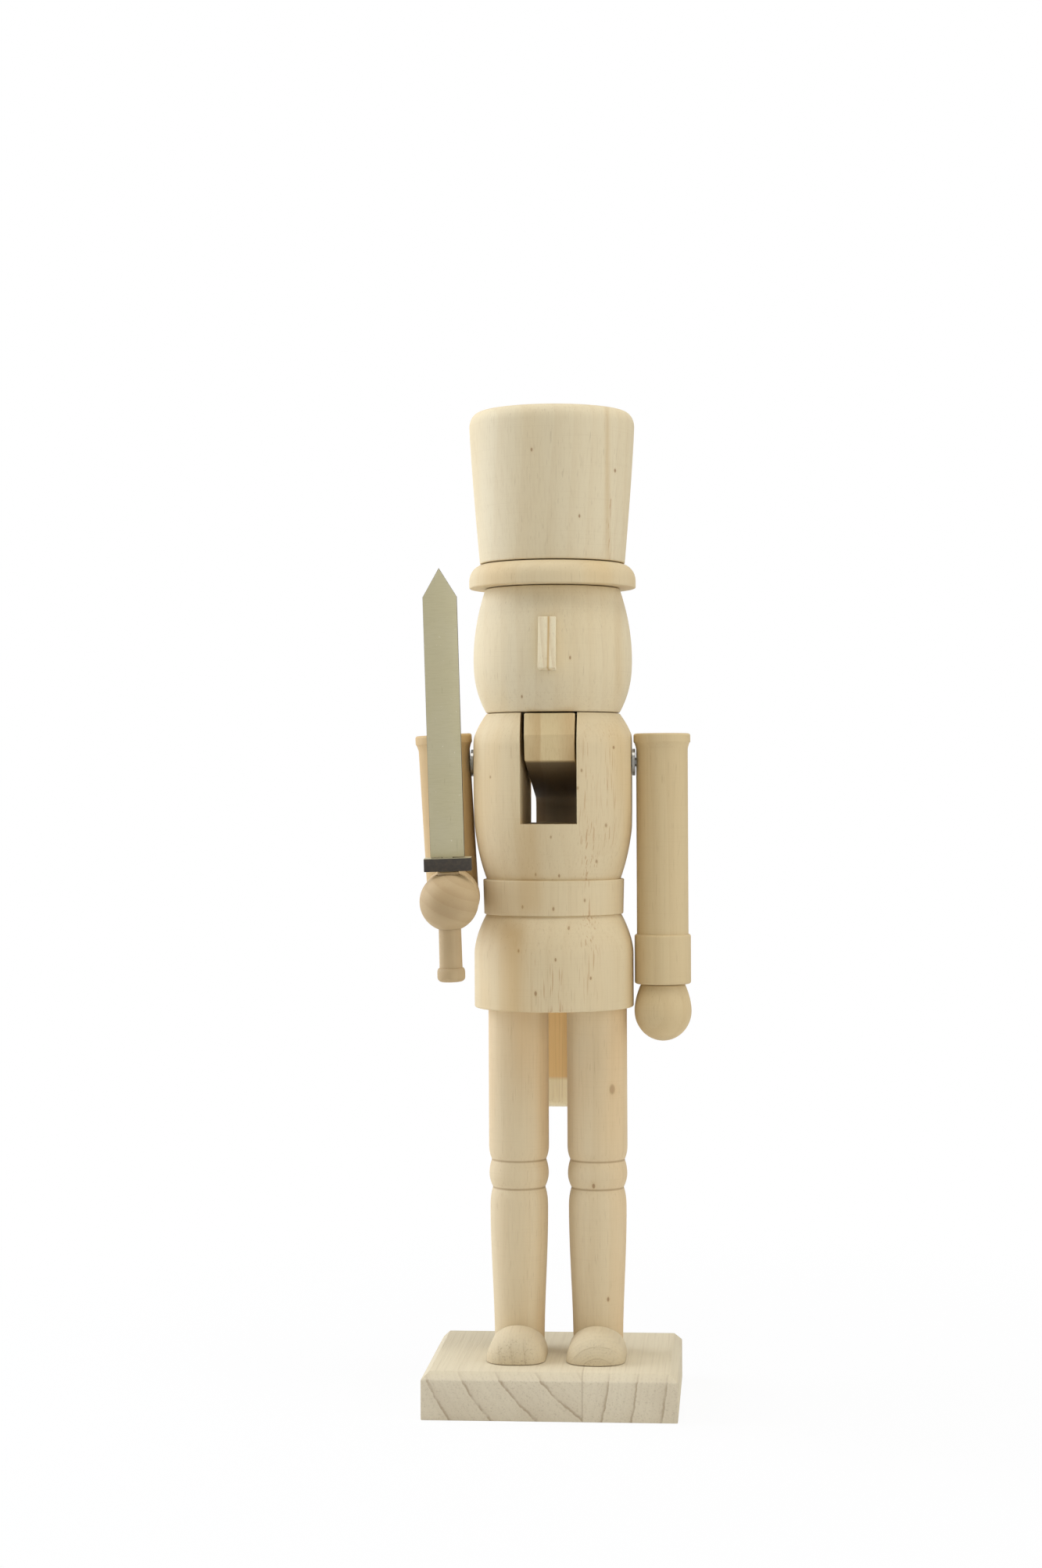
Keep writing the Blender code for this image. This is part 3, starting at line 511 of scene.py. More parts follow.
@dataclass(frozen=True)
class TurnedWood(Finish):
    """Bare sanded wood turned on a lathe: growth rings, fibres, pores, pin knots and streaks.

    Attributes:
        heart: the tree's heart, measured from the turning axis.
        pale, ring, honey: colours of the wood, of the late wood in each ring, of warm patches.
        spacing: the width of a growth ring.
        ring_depth, honey_depth: how strongly rings and warm patches show.
        knot_share: the share of the wood's cells that hold a small knot.
        knots, streaks: single marks on the front.
        grooves: heights of turned grooves, which get a ring of painted shade.
        end_depth: how much darker the end grain is.
    """

    heart: Point2 = (0.052, 0.034)
    pale: Colour = shade(224, 210, 177)
    ring: Colour = shade(201, 172, 126)
    honey: Colour = shade(222, 199, 152)
    spacing: float = 0.0062
    ring_depth: float = 0.10
    honey_depth: float = 0.35
    knot_share: float = 0.05
    knots: Tuple[Knot, ...] = ()
    streaks: Tuple[Streak, ...] = ()
    grooves: Tuple[float, ...] = ()
    end_depth: float = 0.10

    KNOT_TONE = shade(130, 80, 34)
    STREAK_TONE = shade(190, 150, 82)
    DASH_TONE = shade(172, 116, 64)
    FIBRE_TONE = shade(184, 158, 118)
    PORE_TONE = shade(150, 118, 78)
    SHEEN = Sheen(0.56, 0.16, 0.00009, 0.55, 0.34)
    WARM = Grain((34, 34, 9), 9, low=0.42, high=0.72)
    LAYERS = (
        Grain((1250, 1250, 26), 0, 3.0, 0.48, 0.78, FIBRE_TONE, 0.14, 0.4),
        Grain((3300, 3300, 90), 5, 2.0, 0.50, 0.75, FIBRE_TONE, 0.09, 0.25),
        Grain((40, 40, 2300), 17, 2.0, 0.50, 0.80, FIBRE_TONE, 0.08, 0.2),
        Grain((2100, 2100, 120), 13, 1.0, 0.66, 0.74, PORE_TONE, 0.17, -0.4),
    )
    WANDER, WANDER_RINGS = Grain((30, 30, 5), 21, 1.0), 1.6
    LATE, RING_RELIEF = ((0.30, 0.93), (1.0, 0.95)), 0.05
    ENDS = (0.72, 0.95)
    CELLS = (95, 95, 48)
    SMALL_LEAST, SMALL_SPREAD, SMALL_EDGE, SMALL_DEPTH = 0.03, 0.05, 0.02, 0.62
    # Half width and strength of the painted shade in turned grooves.
    GROOVE_HALF, GROOVE_DEPTH = 0.0007, 0.55
    FRONT = 0.002
    WOBBLE = Grain((420, 420, 160), 31)
    DASHES = Grain((1250, 1250, 75), 41, low=0.57, high=0.67)

    def paint(self, graph: ShaderGraph) -> None:
        """Paint the wood, its marks and its end grain.

        Args:
            graph: the material's graph.
        """
        wander = graph.noise(self.WANDER, self.seed) * self.WANDER_RINGS
        rings = (graph.reach((1, 1, 0), (*self.heart, 0)) / self.spacing + wander).fraction()
        late = rings.band(*self.LATE)
        warm = graph.shown(self.WARM, self.seed)
        colour = graph.mix(
            self.pale, (warm * self.honey_depth, self.honey), (late * self.ring_depth, self.ring)
        )
        colour, height, fibre = graph.grown(colour, self.seed, *self.LAYERS)
        colour = self._marks(graph, self._small_knots(graph, colour))
        ends = abs(graph.facing(2)).above(*self.ENDS)
        colour = graph.mix(colour, (ends * self.end_depth, self.PORE_TONE))
        graph.surface(colour, self.SHEEN, fibre, height - rings * self.RING_RELIEF)

    def _small_knots(self, graph: ShaderGraph, colour: Signal) -> Signal:
        """The colour with small knots in a few of the wood's cells.

        Args:
            graph: the material's graph.
            colour: the colour so far.

        Returns:
            The colour with the knots.
        """
        cells = graph.vector("MULTIPLY", graph.place, self.CELLS)
        cells = graph.vector("ADD", cells, (self.seed, self.seed, self.seed))
        spots = graph.node("ShaderNodeTexVoronoi", sockets={"Vector": cells, "Scale": 1.0})
        chance, size, _ = graph.parts(spots.other("Color"))
        radius = self.SMALL_LEAST + size * self.SMALL_SPREAD
        radius = (1 - chance).above(1 - self.knot_share, 1.0) * radius
        small = (radius - spots).above(0.0, self.SMALL_EDGE)
        return graph.mix(colour, (small * self.SMALL_DEPTH, self.KNOT_TONE))

    def _marks(self, graph: ShaderGraph, colour: Signal) -> Signal:
        """The colour with knots, streaks and painted shade in turned grooves.

        Args:
            graph: the material's graph.
            colour: the colour so far.

        Returns:
            The colour with the marks.
        """
        if not (self.knots or self.streaks or self.grooves):
            return colour
        across, back, up = graph.parts(graph.place)
        # Painted shade: a dark ring at each turned groove, where shade gathers.
        for level in self.grooves:
            inside = abs(up - level).above(self.GROOVE_HALF, 0.0)
            colour = graph.mix(colour, (inside * self.GROOVE_DEPTH, self.PORE_TONE))
        front = back.above(self.FRONT, -self.FRONT)
        if self.knots:
            wobble = graph.noise(self.WOBBLE, self.seed)
        for knot in self.knots:
            halo, core = knot.shares(graph, across, up, wobble)
            marks = (halo, self.STREAK_TONE), (core, self.KNOT_TONE)
            colour = graph.mix(colour, *((mark * front * knot.depth, tone) for mark, tone in marks))
        if self.streaks:
            dashes = graph.shown(self.DASHES, self.seed)
        for streak in self.streaks:
            share = streak.share(across, up) * front
            if streak.dashed:
                colour = graph.mix(colour, (share * dashes, self.DASH_TONE))
            else:
                colour = graph.mix(colour, (share, self.STREAK_TONE))
        return colour


@dataclass(frozen=True)
class Board:
    """One board of an end-grained block.

    Attributes:
        heart: its tree's heart in (x, z).
        spacing: its ring width.
        phase: how far its rings are moved, in rings.
    """

    heart: Point2
    spacing: float
    phase: float = 0.0

    def rings(self, graph: ShaderGraph) -> Signal:
        """How many rings a point lies from the heart."""
        centre = (self.heart[0], 0, self.heart[1])
        return graph.reach((1, 0, 1), centre) / self.spacing + self.phase


@dataclass(frozen=True)
class EndGrain(Finish):
    """Sawn wood whose length runs front to back, so that its rings show on the front.

    Attributes:
        face, end: colours of the long faces and of the end grain.
        left, right: the boards on the two sides of the glue line.
        joint: where the glue line is; far outside the piece where it is one board.
        line_depth: how strongly the ring lines show.
        speckle: how strongly the pores of the end grain show.
    """

    face: Colour = shade(222, 210, 181)
    end: Colour = shade(222, 211, 186)
    left: Board = Board((0.0607, 0.068), 0.0121, -0.5)
    right: Board = Board((-0.113, 0.033), 0.0109, -0.17)
    joint: float = 0.0125
    line_depth: float = 0.55
    speckle: float = 0.16

    LINE_TONE = shade(150, 124, 92)
    PORE_TONE = shade(132, 106, 78)
    GLUE_TONE = shade(150, 122, 88)
    SHEEN = Sheen(0.66, 0.14, 0.00012, 0.6, 0.3)
    WANDER, WANDER_RINGS, WANDER_FAINT = Grain((46, 6, 46)), 0.22, 1.5
    JAGGED, JAGGED_RINGS = Grain((480, 6, 480), 19, 1.0), 0.10
    TONE = Grain((38, 12, 38), 11, depth=0.10)
    BREAKS = Grain((260, 20, 260), 15, low=0.30, high=0.55)
    PORES = Grain((1500, 60, 1500), 3, low=0.56, high=0.70, relief=-0.6)
    FIBRE = Grain((1300, 24, 1300), 7, 3.0, 0.50, 0.80, LINE_TONE, 0.15, 0.5)
    ENDS = (0.55, 0.9)
    LATE, LATE_RELIEF = ((0.86, 0.955), (1.0, 0.965)), 0.4
    SOFT, SOFT_DEPTH = ((0.35, 0.95), (1.0, 0.97)), 0.07
    FAINT, FAINT_DEPTH, FAINT_RINGS = (0.5, 1.0), 0.05, 4.0
    UNBROKEN, ON_FACES = 0.45, 0.16
    SAW_CUT, GLUE_HALF, GLUE_CORE, GLUE_DEPTH = 0.0001, 0.00045, 0.0001, 0.3

    def paint(self, graph: ShaderGraph) -> None:
        """Paint the ring lines of both boards, the pores and the glue line.

        Args:
            graph: the material's graph.
        """
        across, _, _ = graph.parts(graph.place)
        ends = abs(graph.facing(1)).above(*self.ENDS)
        second = across.above(self.joint - self.SAW_CUT, self.joint + self.SAW_CUT)
        first = self.left.rings(graph)
        reach = first + (self.right.rings(graph) - first) * second
        wander = graph.noise(self.WANDER, self.seed) - NOISE_MIDDLE
        jagged = (graph.noise(self.JAGGED, self.seed) - NOISE_MIDDLE) * self.JAGGED_RINGS
        share = (reach + wander * self.WANDER_RINGS + jagged + self.seed).fraction()
        late, soft = share.band(*self.LATE), share.band(*self.SOFT)
        faint = (reach * self.FAINT_RINGS + wander * self.WANDER_FAINT).fraction()
        pores = graph.shown(self.PORES, self.seed)
        colour = graph.mix(
            self.face,
            (ends, self.end),
            (graph.shown(self.TONE, self.seed) * self.TONE.depth, self.LINE_TONE),
            (soft * ends * self.SOFT_DEPTH, self.LINE_TONE),
            (faint.above(*self.FAINT) * self.FAINT_DEPTH, self.LINE_TONE),
        )
        colour, height, fibre = graph.grown(colour, self.seed, self.FIBRE)
        breaks = graph.shown(self.BREAKS, self.seed) * (1 - self.UNBROKEN) + self.UNBROKEN
        strength = late * breaks * (self.ON_FACES + ends * (1 - self.ON_FACES))
        glue = abs(across - self.joint).above(self.GLUE_HALF, self.GLUE_CORE)
        colour = graph.mix(
            colour,
            (pores * ends * self.speckle, self.PORE_TONE),
            (strength * self.line_depth, self.LINE_TONE),
            (glue * self.GLUE_DEPTH, self.GLUE_TONE),
        )
        height = height + pores * self.PORES.relief - late * self.LATE_RELIEF
        graph.surface(colour, self.SHEEN, fibre, height)


@dataclass(frozen=True)
class SawnBoard(Finish):
    """A sawn board whose growth layers lie side by side across it, as on the jaw lever.

    Attributes:
        layer, shift: the width of one growth layer, and where the first dark band lies.
        warm_low, warm_high: the stretch with painted warm shade under the skirt.
        deep_low, deep_high: the stretch in the slot, with painted shade on its front.
    """

    layer: float = 0.0125
    shift: float = -0.0035
    warm_low: float = 0.119
    warm_high: float = 0.215
    deep_low: float = 0.218
    deep_high: float = 0.2462

    PALE = shade(224, 203, 156)
    BAND, FRONT = ((0.38, 0.92), (1.0, 0.93)), (-0.05, -0.2)
    BAND_TONE, BAND_DEPTH = shade(190, 154, 104), 0.5
    FIBRE_TONE = shade(184, 152, 104)
    # Painted light: an orange tint for the skirt's shade on the handle, and a highlight on its end.
    WARM_TONE, WARM_DEPTH = shade(242, 204, 142), 0.8
    END_TONE, END_DEPTH = shade(250, 238, 202), 0.9
    # Painted shade for the front of the part that sits in the body's slot.
    DEEP_TONE, DEEP_DEPTH = shade(86, 70, 52), 0.85
    SHEEN = Sheen(0.6, 0.16, 0.00012, 0.6, 0.34)
    SLANT = 0.06
    WANDER, WANDER_LAYERS = Grain((40, 16, 9)), 0.35
    TONE = Grain((60, 40, 12), 11, depth=0.2)
    LAYERS = (
        Grain((1500, 900, 24), 3, 3.0, 0.46, 0.80, FIBRE_TONE, 0.26, 0.6),
        Grain((2400, 1500, 90), 7, 1.0, 0.64, 0.74, BAND_TONE, 0.22, -0.5),
    )
    WARM_RISE, WARM_FALL, DEEP_RISE, DEEP_FALL = 0.002, 0.03, 0.004, 0.001

    def paint(self, graph: ShaderGraph) -> None:
        """Paint the layers, painted warm shade and end highlight, and painted shade in the slot.

        Args:
            graph: the material's graph.
        """
        across, back, up = graph.parts(graph.place)
        wander = (graph.noise(self.WANDER, self.seed) - NOISE_MIDDLE) * self.WANDER_LAYERS
        share = ((across + back * self.SLANT - self.shift) / self.layer + wander).fraction()
        band = share.band(*self.BAND)
        # Painted warm shade along the handle, and a painted highlight on the front faces of its
        # end.
        warm = up.within(self.warm_low, self.warm_high, self.WARM_RISE, self.WARM_FALL)
        end = up.above(self.warm_low + self.WARM_RISE, self.warm_low)
        # Painted shade on front faces within the body's slot.
        deep = up.within(self.deep_low, self.deep_high, self.DEEP_RISE, self.DEEP_FALL)
        front = graph.facing(1).above(*self.FRONT)
        colour = graph.mix(
            self.PALE,
            (graph.shown(self.TONE, self.seed) * self.TONE.depth, self.FIBRE_TONE),
            (warm * self.WARM_DEPTH, self.WARM_TONE),
            (band * self.BAND_DEPTH, self.BAND_TONE),
            (end * front * self.END_DEPTH, self.END_TONE),
        )
        colour, height, fibre = graph.grown(colour, self.seed, *self.LAYERS)
        colour = graph.mix(colour, (deep * front * self.DEEP_DEPTH, self.DEEP_TONE))
        graph.surface(colour, self.SHEEN, fibre, height)


@dataclass(frozen=True)
class SilverFace(Finish):
    """A thin board with a dull silver face and dark sawn edges.

    Attributes:
        faced: the axis along which its silver faces look: 1 for front and back, 2 for the top.
    """

    faced: int = 1

    FACE = (0.55, 0.8)
    SILVER = shade(190, 182, 148)
    EDGE = shade(52, 46, 38)
    LAYERS = (
        Grain((240, 240, 2600), 0, 2.0, 0.40, 0.75, shade(160, 152, 120), 0.16, 0.5),
        Grain((90, 90, 60), 3, 3.0, 0.40, 0.70, shade(196, 190, 166), 0.18),
        Grain((900, 900, 700), 7, 2.0, 0.70, 0.76, shade(226, 222, 206), 0.5),
        Grain((1400, 1400, 160), 11, 2.0, 0.68, 0.76, shade(140, 130, 100), 0.3),
    )
    SAWN = Grain((700, 700, 900), 15, 3.0, 0.40, 0.70, shade(80, 68, 52), 0.4)
    SHEEN = Sheen(0.62, 1.0, 0.00006, 0.5)
    METAL, SMOOTHER, BRUSHED_ROUGHER = 0.3, 0.2, 0.1

    def paint(self, graph: ShaderGraph) -> None:
        """Paint the silver faces and the sawn edges.

        Args:
            graph: the material's graph.
        """
        face = abs(graph.facing(self.faced)).above(*self.FACE)
        silver, height, brushed = graph.grown(self.SILVER, self.seed, *self.LAYERS)
        wood, _, sawn = graph.grown(self.EDGE, self.seed, self.SAWN)
        rougher = brushed * self.BRUSHED_ROUGHER - face * self.SMOOTHER
        height = height + sawn * (1 - face)
        colour = graph.mix(wood, (face, silver))
        graph.surface(colour, self.SHEEN, rougher, height, Metallic=face * self.METAL)


@dataclass(frozen=True)
class TurnedSteel(Finish):
    """Plain steel with turning marks, a little dulled."""

    TONE, DULL_TONE = shade(146, 144, 138), shade(150, 146, 138)
    MARKS = Grain((1600, 1600, 1600), 0, 3.0)
    DULL = Grain((260, 260, 260), 3, 3.0, 0.45, 0.70, depth=0.35)
    SHEEN = Sheen(0.26, 1.0, 0.00003, 0.4)
    DULL_ROUGHER, MARKS_ROUGHER = 0.2, 0.08

    def paint(self, graph: ShaderGraph) -> None:
        """Paint the steel, rougher where it is dull.

        Args:
            graph: the material's graph.
        """
        marks = graph.noise(self.MARKS, self.seed)
        dull = graph.shown(self.DULL, self.seed)
        colour = graph.mix(self.TONE, (dull * self.DULL.depth, self.DULL_TONE))
        rougher = dull * self.DULL_ROUGHER + marks * self.MARKS_ROUGHER
        graph.surface(colour, self.SHEEN, rougher, marks, Metallic=1.0)


def shares(steps: int) -> List[float]:
    """Even shares from 0 to 1."""
    return [step / steps for step in range(steps + 1)]


class Lathe:
    """Profiles of turned pieces, from top to bottom, and the meshes turned from them."""

    @staticmethod
    def swelling(narrow: Point2, wide: Point2, power: float) -> Profile:
        """Points from a narrow end to the widest ring.

        Args:
            narrow, wide: the two rings as (radius, height).
            power: how full the curve is.

        Returns:
            The points, both rings included.
        """
        spread, rise = wide[0] - narrow[0], narrow[1] - wide[1]
        left = [1 - share for share in shares(CURVE_STEPS)]
        return [(wide[0] - spread * share ** power, wide[1] + rise * share) for share in left]

    @classmethod
    def barrel(cls, top: Point2, widest: Point2, bottom: Point2, powers: Point2) -> Profile:
        """Points of a swelling piece, with the powers of its upper and lower half."""
        lower = cls.swelling(bottom, widest, powers[1])
        return cls.swelling(top, widest, powers[0]) + lower[-2::-1]

    @staticmethod
    def eased(top: Point2, bottom: Point2) -> Profile:
        """Points of a smooth taper between two rings.

        Args:
            top, bottom: the two rings as (radius, height).

        Returns:
            The points, both rings included.
        """
        spread, drop = bottom[0] - top[0], bottom[1] - top[1]
        return [
            (top[0] + spread * (share * share * (3 - 2 * share)), top[1] + drop * share)
            for share in shares(CURVE_STEPS)
        ]

    @staticmethod
    def rounded(ring: Point2, across: float, down: float, upper: bool = True) -> Profile:
        """Points of a rounded edge that ends on a ring.

        Args:
            ring: the ring as (radius, height).
            across, down: the size of the round.
            upper: whether the round lies above the ring.

        Returns:
            The points, from top to bottom.
        """
        rise = down if upper else -down
        angles = [QUARTER * (1 - share) for share in shares(ROUND_STEPS)]
        points = [
            (ring[0] - across * (1 - math.cos(angle)), ring[1] + rise * math.sin(angle))
            for angle in angles
        ]
        return points if upper else points[::-1]

    @staticmethod
    def mesh(profile: Profile, segments: int) -> Mesh:
        """Turn a profile about Z.

        Args:
            profile: points as (radius, height), from top to bottom.
            segments: how many flats go round.

        Returns:
            A closed mesh.
        """
        work = bmesh.new()
        angles = [2 * math.pi * index / segments for index in range(segments)]
        rings = []
        for radius, height in profile:
            turns = angles if radius >= TINY else [0.0]
            spots = [(radius * math.cos(turn), radius * math.sin(turn), height) for turn in turns]
            rings.append([work.verts.new(spot) for spot in spots])
        for upper, lower in zip(rings, rings[1:]):
            for index in range(segments):
                after = (index + 1) % segments
                corners = [upper[index % len(upper)], lower[index % len(lower)]]
                corners += [lower[after % len(lower)], upper[after % len(upper)]]
                work.faces.new(list(dict.fromkeys(corners)))
        return finished(work)


def soften(
    points: Sequence[Point2], radius: float, closed: bool = False, skip: Iterable[int] = ()
) -> Profile:
    """Round the corners of a line of points; of an open profile, only those that stand out.

    Args:
        points: the line, a profile from top to bottom.
        radius: the size of the round; it shrinks where a stretch is short.
        closed: whether the last point meets the first.
        skip: corners that stay sharp.

    Returns:
        The rounded line, with a point beside each round that keeps long flats flat.
    """
    flat = [Vector(point) for point in points]
    last = len(flat) - 1
    rounded: List[Vector] = []
    for index, corner in enumerate(flat):
        before = flat[index - 1] - corner
        after = flat[(index + 1) % len(flat)] - corner
        sharp = index in skip or (not closed and index in (0, last))
        sharp = sharp or min(before.length, after.length) < TINY
        sharp = sharp or math.pi - before.angle(after) < SOFT_ANGLE
        if sharp or (not closed and before.cross(after) < 0):
            rounded.append(corner)
            continue
        trim = min(radius, TRIM_SHARE * before.length, TRIM_SHARE * after.length)
        start, end = (corner + way.normalized() * trim for way in (before, after))
        if before.length > LONG_TRIMS * trim:
            rounded.append(corner + before.normalized() * trim * BESIDE_TRIM)
        for share in shares(EASED_STEPS):
            rest = 1 - share
            rounded.append(start * rest ** 2 + corner * 2 * share * rest + end * share ** 2)
        if after.length > LONG_TRIMS * trim:
            rounded.append(corner + after.normalized() * trim * BESIDE_TRIM)
    return [tuple(point) for point in rounded]


def arc_corners(corners: Sequence[Point3]) -> Profile:
    """Outline of a polygon whose corners are rounded by true arcs.

    Args:
        corners: each corner as (across, up, radius).

    Returns:
        The outline's points.
    """
    points: Profile = []
    for index, (across, up, radius) in enumerate(corners):
        if not radius:
            points.append((across, up))
            continue
        corner = Vector((across, up))
        before = (Vector(corners[index - 1][:2]) - corner).normalized()
        after = (Vector(corners[(index + 1) % len(corners)][:2]) - corner).normalized()
        half = before.angle(after) / 2
        centre = corner + (before + after).normalized() * (radius / math.sin(half))
        start = corner + before * (radius / math.tan(half)) - centre
        end = corner + after * (radius / math.tan(half)) - centre
        sweep = start.angle_signed(end)
        for share in shares(ROUND_STEPS):
            points.append(tuple(centre + Matrix.Rotation(-sweep * share, 2) @ start))
    return points


def finished(work: bmesh.types.BMesh) -> Mesh:
    """Turn work into a mesh with outward faces, and free it.

    Args:
        work: the geometry.

    Returns:
        The mesh.
    """
    bmesh.ops.recalc_face_normals(work, faces=work.faces)
    mesh = bpy.data.meshes.new("work")
    work.to_mesh(mesh)
    work.free()
    return mesh


def ease_edges(work: bmesh.types.BMesh, edges: Any, size: float, **more: Any) -> None:
    """Round edges a little.

    Args:
        work: the geometry.
        edges: those of its edges that are rounded.
        size: the size of the round.
        more: settings besides.
    """
    shape = {"offset": size, "segments": EDGE_SEGMENTS, "affect": "EDGES"}
    bmesh.ops.bevel(work, geom=edges, **shape, **more)


def placed(name: str, data: bpy.types.ID) -> bpy.types.Object:
    """A new object in the scene.

    Args:
        name: its name.
        data: its mesh, light or camera.

    Returns:
        The object.
    """
    item = bpy.data.objects.new(name, data)
    bpy.context.scene.collection.objects.link(item)
    return item


def block_mesh(low: Point3, high: Point3, ease: float = 0.0, chamfer: float = 0.0) -> Mesh:
    """A square block between two corners.

    Args:
        low, high: its corners.
        ease: the size of its eased edges.
        chamfer: the size of the chamfer along its upper edges.

    Returns:
        The mesh.
    """
    work = bmesh.new()
    bmesh.ops.create_cube(work, size=1.0)
    size = Vector(high) - Vector(low)
    middle = Vector(low) + size / 2
    bmesh.ops.scale(work, verts=work.verts, vec=size)
    bmesh.ops.translate(work, verts=work.verts, vec=middle)
    if chamfer:
        upper = [e for e in work.edges if min(vert.co.z for vert in e.verts) > middle.z]
        bmesh.ops.bevel(work, geom=upper, offset=chamfer, segments=1, affect="EDGES")
    if ease:
        ease_edges(work, work.edges, ease, profile=EDGE_PROFILE)
    return finished(work)


def board_mesh(outline: Profile, thickness: float, ease: float) -> Mesh:
    """A flat board with eased arrises.

    Args:
        outline: the board's face as (Y, Z) points.
        thickness: its size along X.
        ease: the size of the eased arrises.

    Returns:
        The mesh, centred on X.
    """
    work = bmesh.new()
    corners = [work.verts.new((-thickness / 2, across, up)) for across, up in outline]
    made = bmesh.ops.extrude_face_region(work, geom=[work.faces.new(corners)])
    moved = [item for item in made["geom"] if isinstance(item, bmesh.types.BMVert)]
    bmesh.ops.translate(work, verts=moved, vec=(thickness, 0, 0))
    rims = [e for e in work.edges if abs(e.verts[0].co.x - e.verts[1].co.x) < TINY]
    ease_edges(work, rims, ease, profile=EDGE_PROFILE, clamp_overlap=True)
    return finished(work)


def bore_mesh(radius: float, start: Sequence[float], end: Sequence[float]) -> Mesh:
    """A round bar between two points, for drilling a hole.

    Args:
        radius: its half width.
        start, end: its two ends.

    Returns:
        The bar.
    """
    axis = Vector(end) - Vector(start)
    top = axis.length
    mesh = Lathe.mesh([(0, top), (radius, top), (radius, 0), (0, 0)], BORE_SEGMENTS)
    mesh.transform(Matrix.Translation(start) @ axis.to_track_quat("Z", "Y").to_matrix().to_4x4())
    return mesh


def upright_bore(radius: float, across: float, low: float, high: float) -> Mesh:
    """An upright bar between two heights, for drilling a hole."""
    return bore_mesh(radius, (across, 0, low), (across, 0, high))


def carve(mesh: Mesh, *cutters: Mesh) -> Mesh:
    """Cut holes in a mesh.

    Args:
        mesh: the piece.
        cutters: closed meshes in the piece's frame.

    Returns:
        The cut mesh.
    """
    items = [placed("carving", data) for data in (mesh, *cutters)]
    for tool in items[1:]:
        cut = items[0].modifiers.new("cut", "BOOLEAN")
        cut.operation = "DIFFERENCE"
        cut.solver = "EXACT"
        cut.object = tool
    graph = bpy.context.evaluated_depsgraph_get()
    result = bpy.data.meshes.new_from_object(items[0].evaluated_get(graph))
    for item in items:
        used = item.data
        bpy.data.objects.remove(item, do_unlink=True)
        bpy.data.meshes.remove(used)
    return result


def halve(mesh: Mesh, at: Point3, waste: Point3, ease: float) -> None:
    """Saw a mesh along a plane, in place.

    Args:
        mesh: the piece.
        at: a point of the plane.
        waste: the direction of the side that falls off.
        ease: the size of the eased edge of the cut.
    """
    work = bmesh.new()
    work.from_mesh(mesh)
    geometry = [*work.verts, *work.edges, *work.faces]
    plane = {"plane_co": at, "plane_no": waste, "clear_outer": True, "dist": TINY}
    made = bmesh.ops.bisect_plane(work, geom=geometry, **plane)
    rim = [item for item in made["geom_cut"] if isinstance(item, bmesh.types.BMEdge)]
    bmesh.ops.edgeloop_fill(work, edges=rim)
    ease_edges(work, rim, ease, clamp_overlap=True)
    bmesh.ops.recalc_face_normals(work, faces=work.faces)
    work.to_mesh(mesh)
    work.free()


@dataclass
class Piece:
    """One visible piece: what it stands for, what it rides on and how it is finished.

    Attributes:
        name: the piece's name.
        node: the CAD node that it replaces.
        body: the body that it rides on.
        slot: the record's material slot; not used.
        finish: the finish that it wears.
        place: where its own frame is.
    """

    name: str
    node: str
    body: Body
    slot: Slot
    finish: Finish
    place: Matrix = field(default_factory=Matrix)

    def add(self, mesh: Mesh, *cutters: Mesh) -> None:
        """Cut the piece's holes and put it in the scene.

        Args:
            mesh: its mesh, in its own frame.
            cutters: what is cut out of it.
        """
        if cutters:
            mesh = carve(mesh, *cutters)
        mesh.name = self.name
        mesh.materials.clear()
        mesh.materials.append(self.finish.material())
        mesh.shade_smooth()
        mesh.set_sharp_from_angle(angle=SHARP_ANGLE)
        item = placed(self.name, mesh)
        item.matrix_world = self.place
        bpy.context.view_layer.update()
        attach(item, self.body.value)
        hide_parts(self.node)
        rides = (self.name, len(mesh.polygons), self.node, self.body.value)
        LOG.info("%s: %d faces, stands for %s, rides on %s", *rides)


@dataclass(frozen=True)
class Joints:
    """Where the pieces are joined, and the half widths of their holes.

    Attributes:
        leg_offset, leg_shift: the legs' places beside the middle, and what moves both of them.
        pivot, pivot_bore: the lever's pin as (back, up), and its hole.
        shoulder, shoulder_bore: the height of the shoulder pins, and their holes.
        neck_offset, neck_bore, neck_depth: the dowels between body and head.
    """

    leg_offset: float = 0.0152
    leg_shift: float = 0.0013
    pivot: Point2 = (0.012, 0.246)
    pivot_bore: float = 0.0028
    shoulder: float = 0.2456
    shoulder_bore: float = 0.00205
    neck_offset: float = 0.018275
    neck_bore: float = 0.0033
    neck_depth: float = 0.0103

    def leg(self, side: Side) -> float:
        """Where a leg stands across."""
        return self.leg_shift + side.value * self.leg_offset

    def pivot_hole(self, half: float) -> Mesh:
        """The hole of the lever's pin, through a piece of that half width."""
        return bore_mesh(self.pivot_bore, (-half, *self.pivot), (half, *self.pivot))

    def neck_hole(self, side: Side, low: float, high: float) -> Mesh:
        """A neck dowel's hole between two heights."""
        return upright_bore(self.neck_bore, side.value * self.neck_offset, low, high)


JOINTS = Joints()


class Assembly(Protocol):
    """A part of the figure that makes its own pieces."""

    def build(self) -> None:
        """Mesh and dress its pieces."""


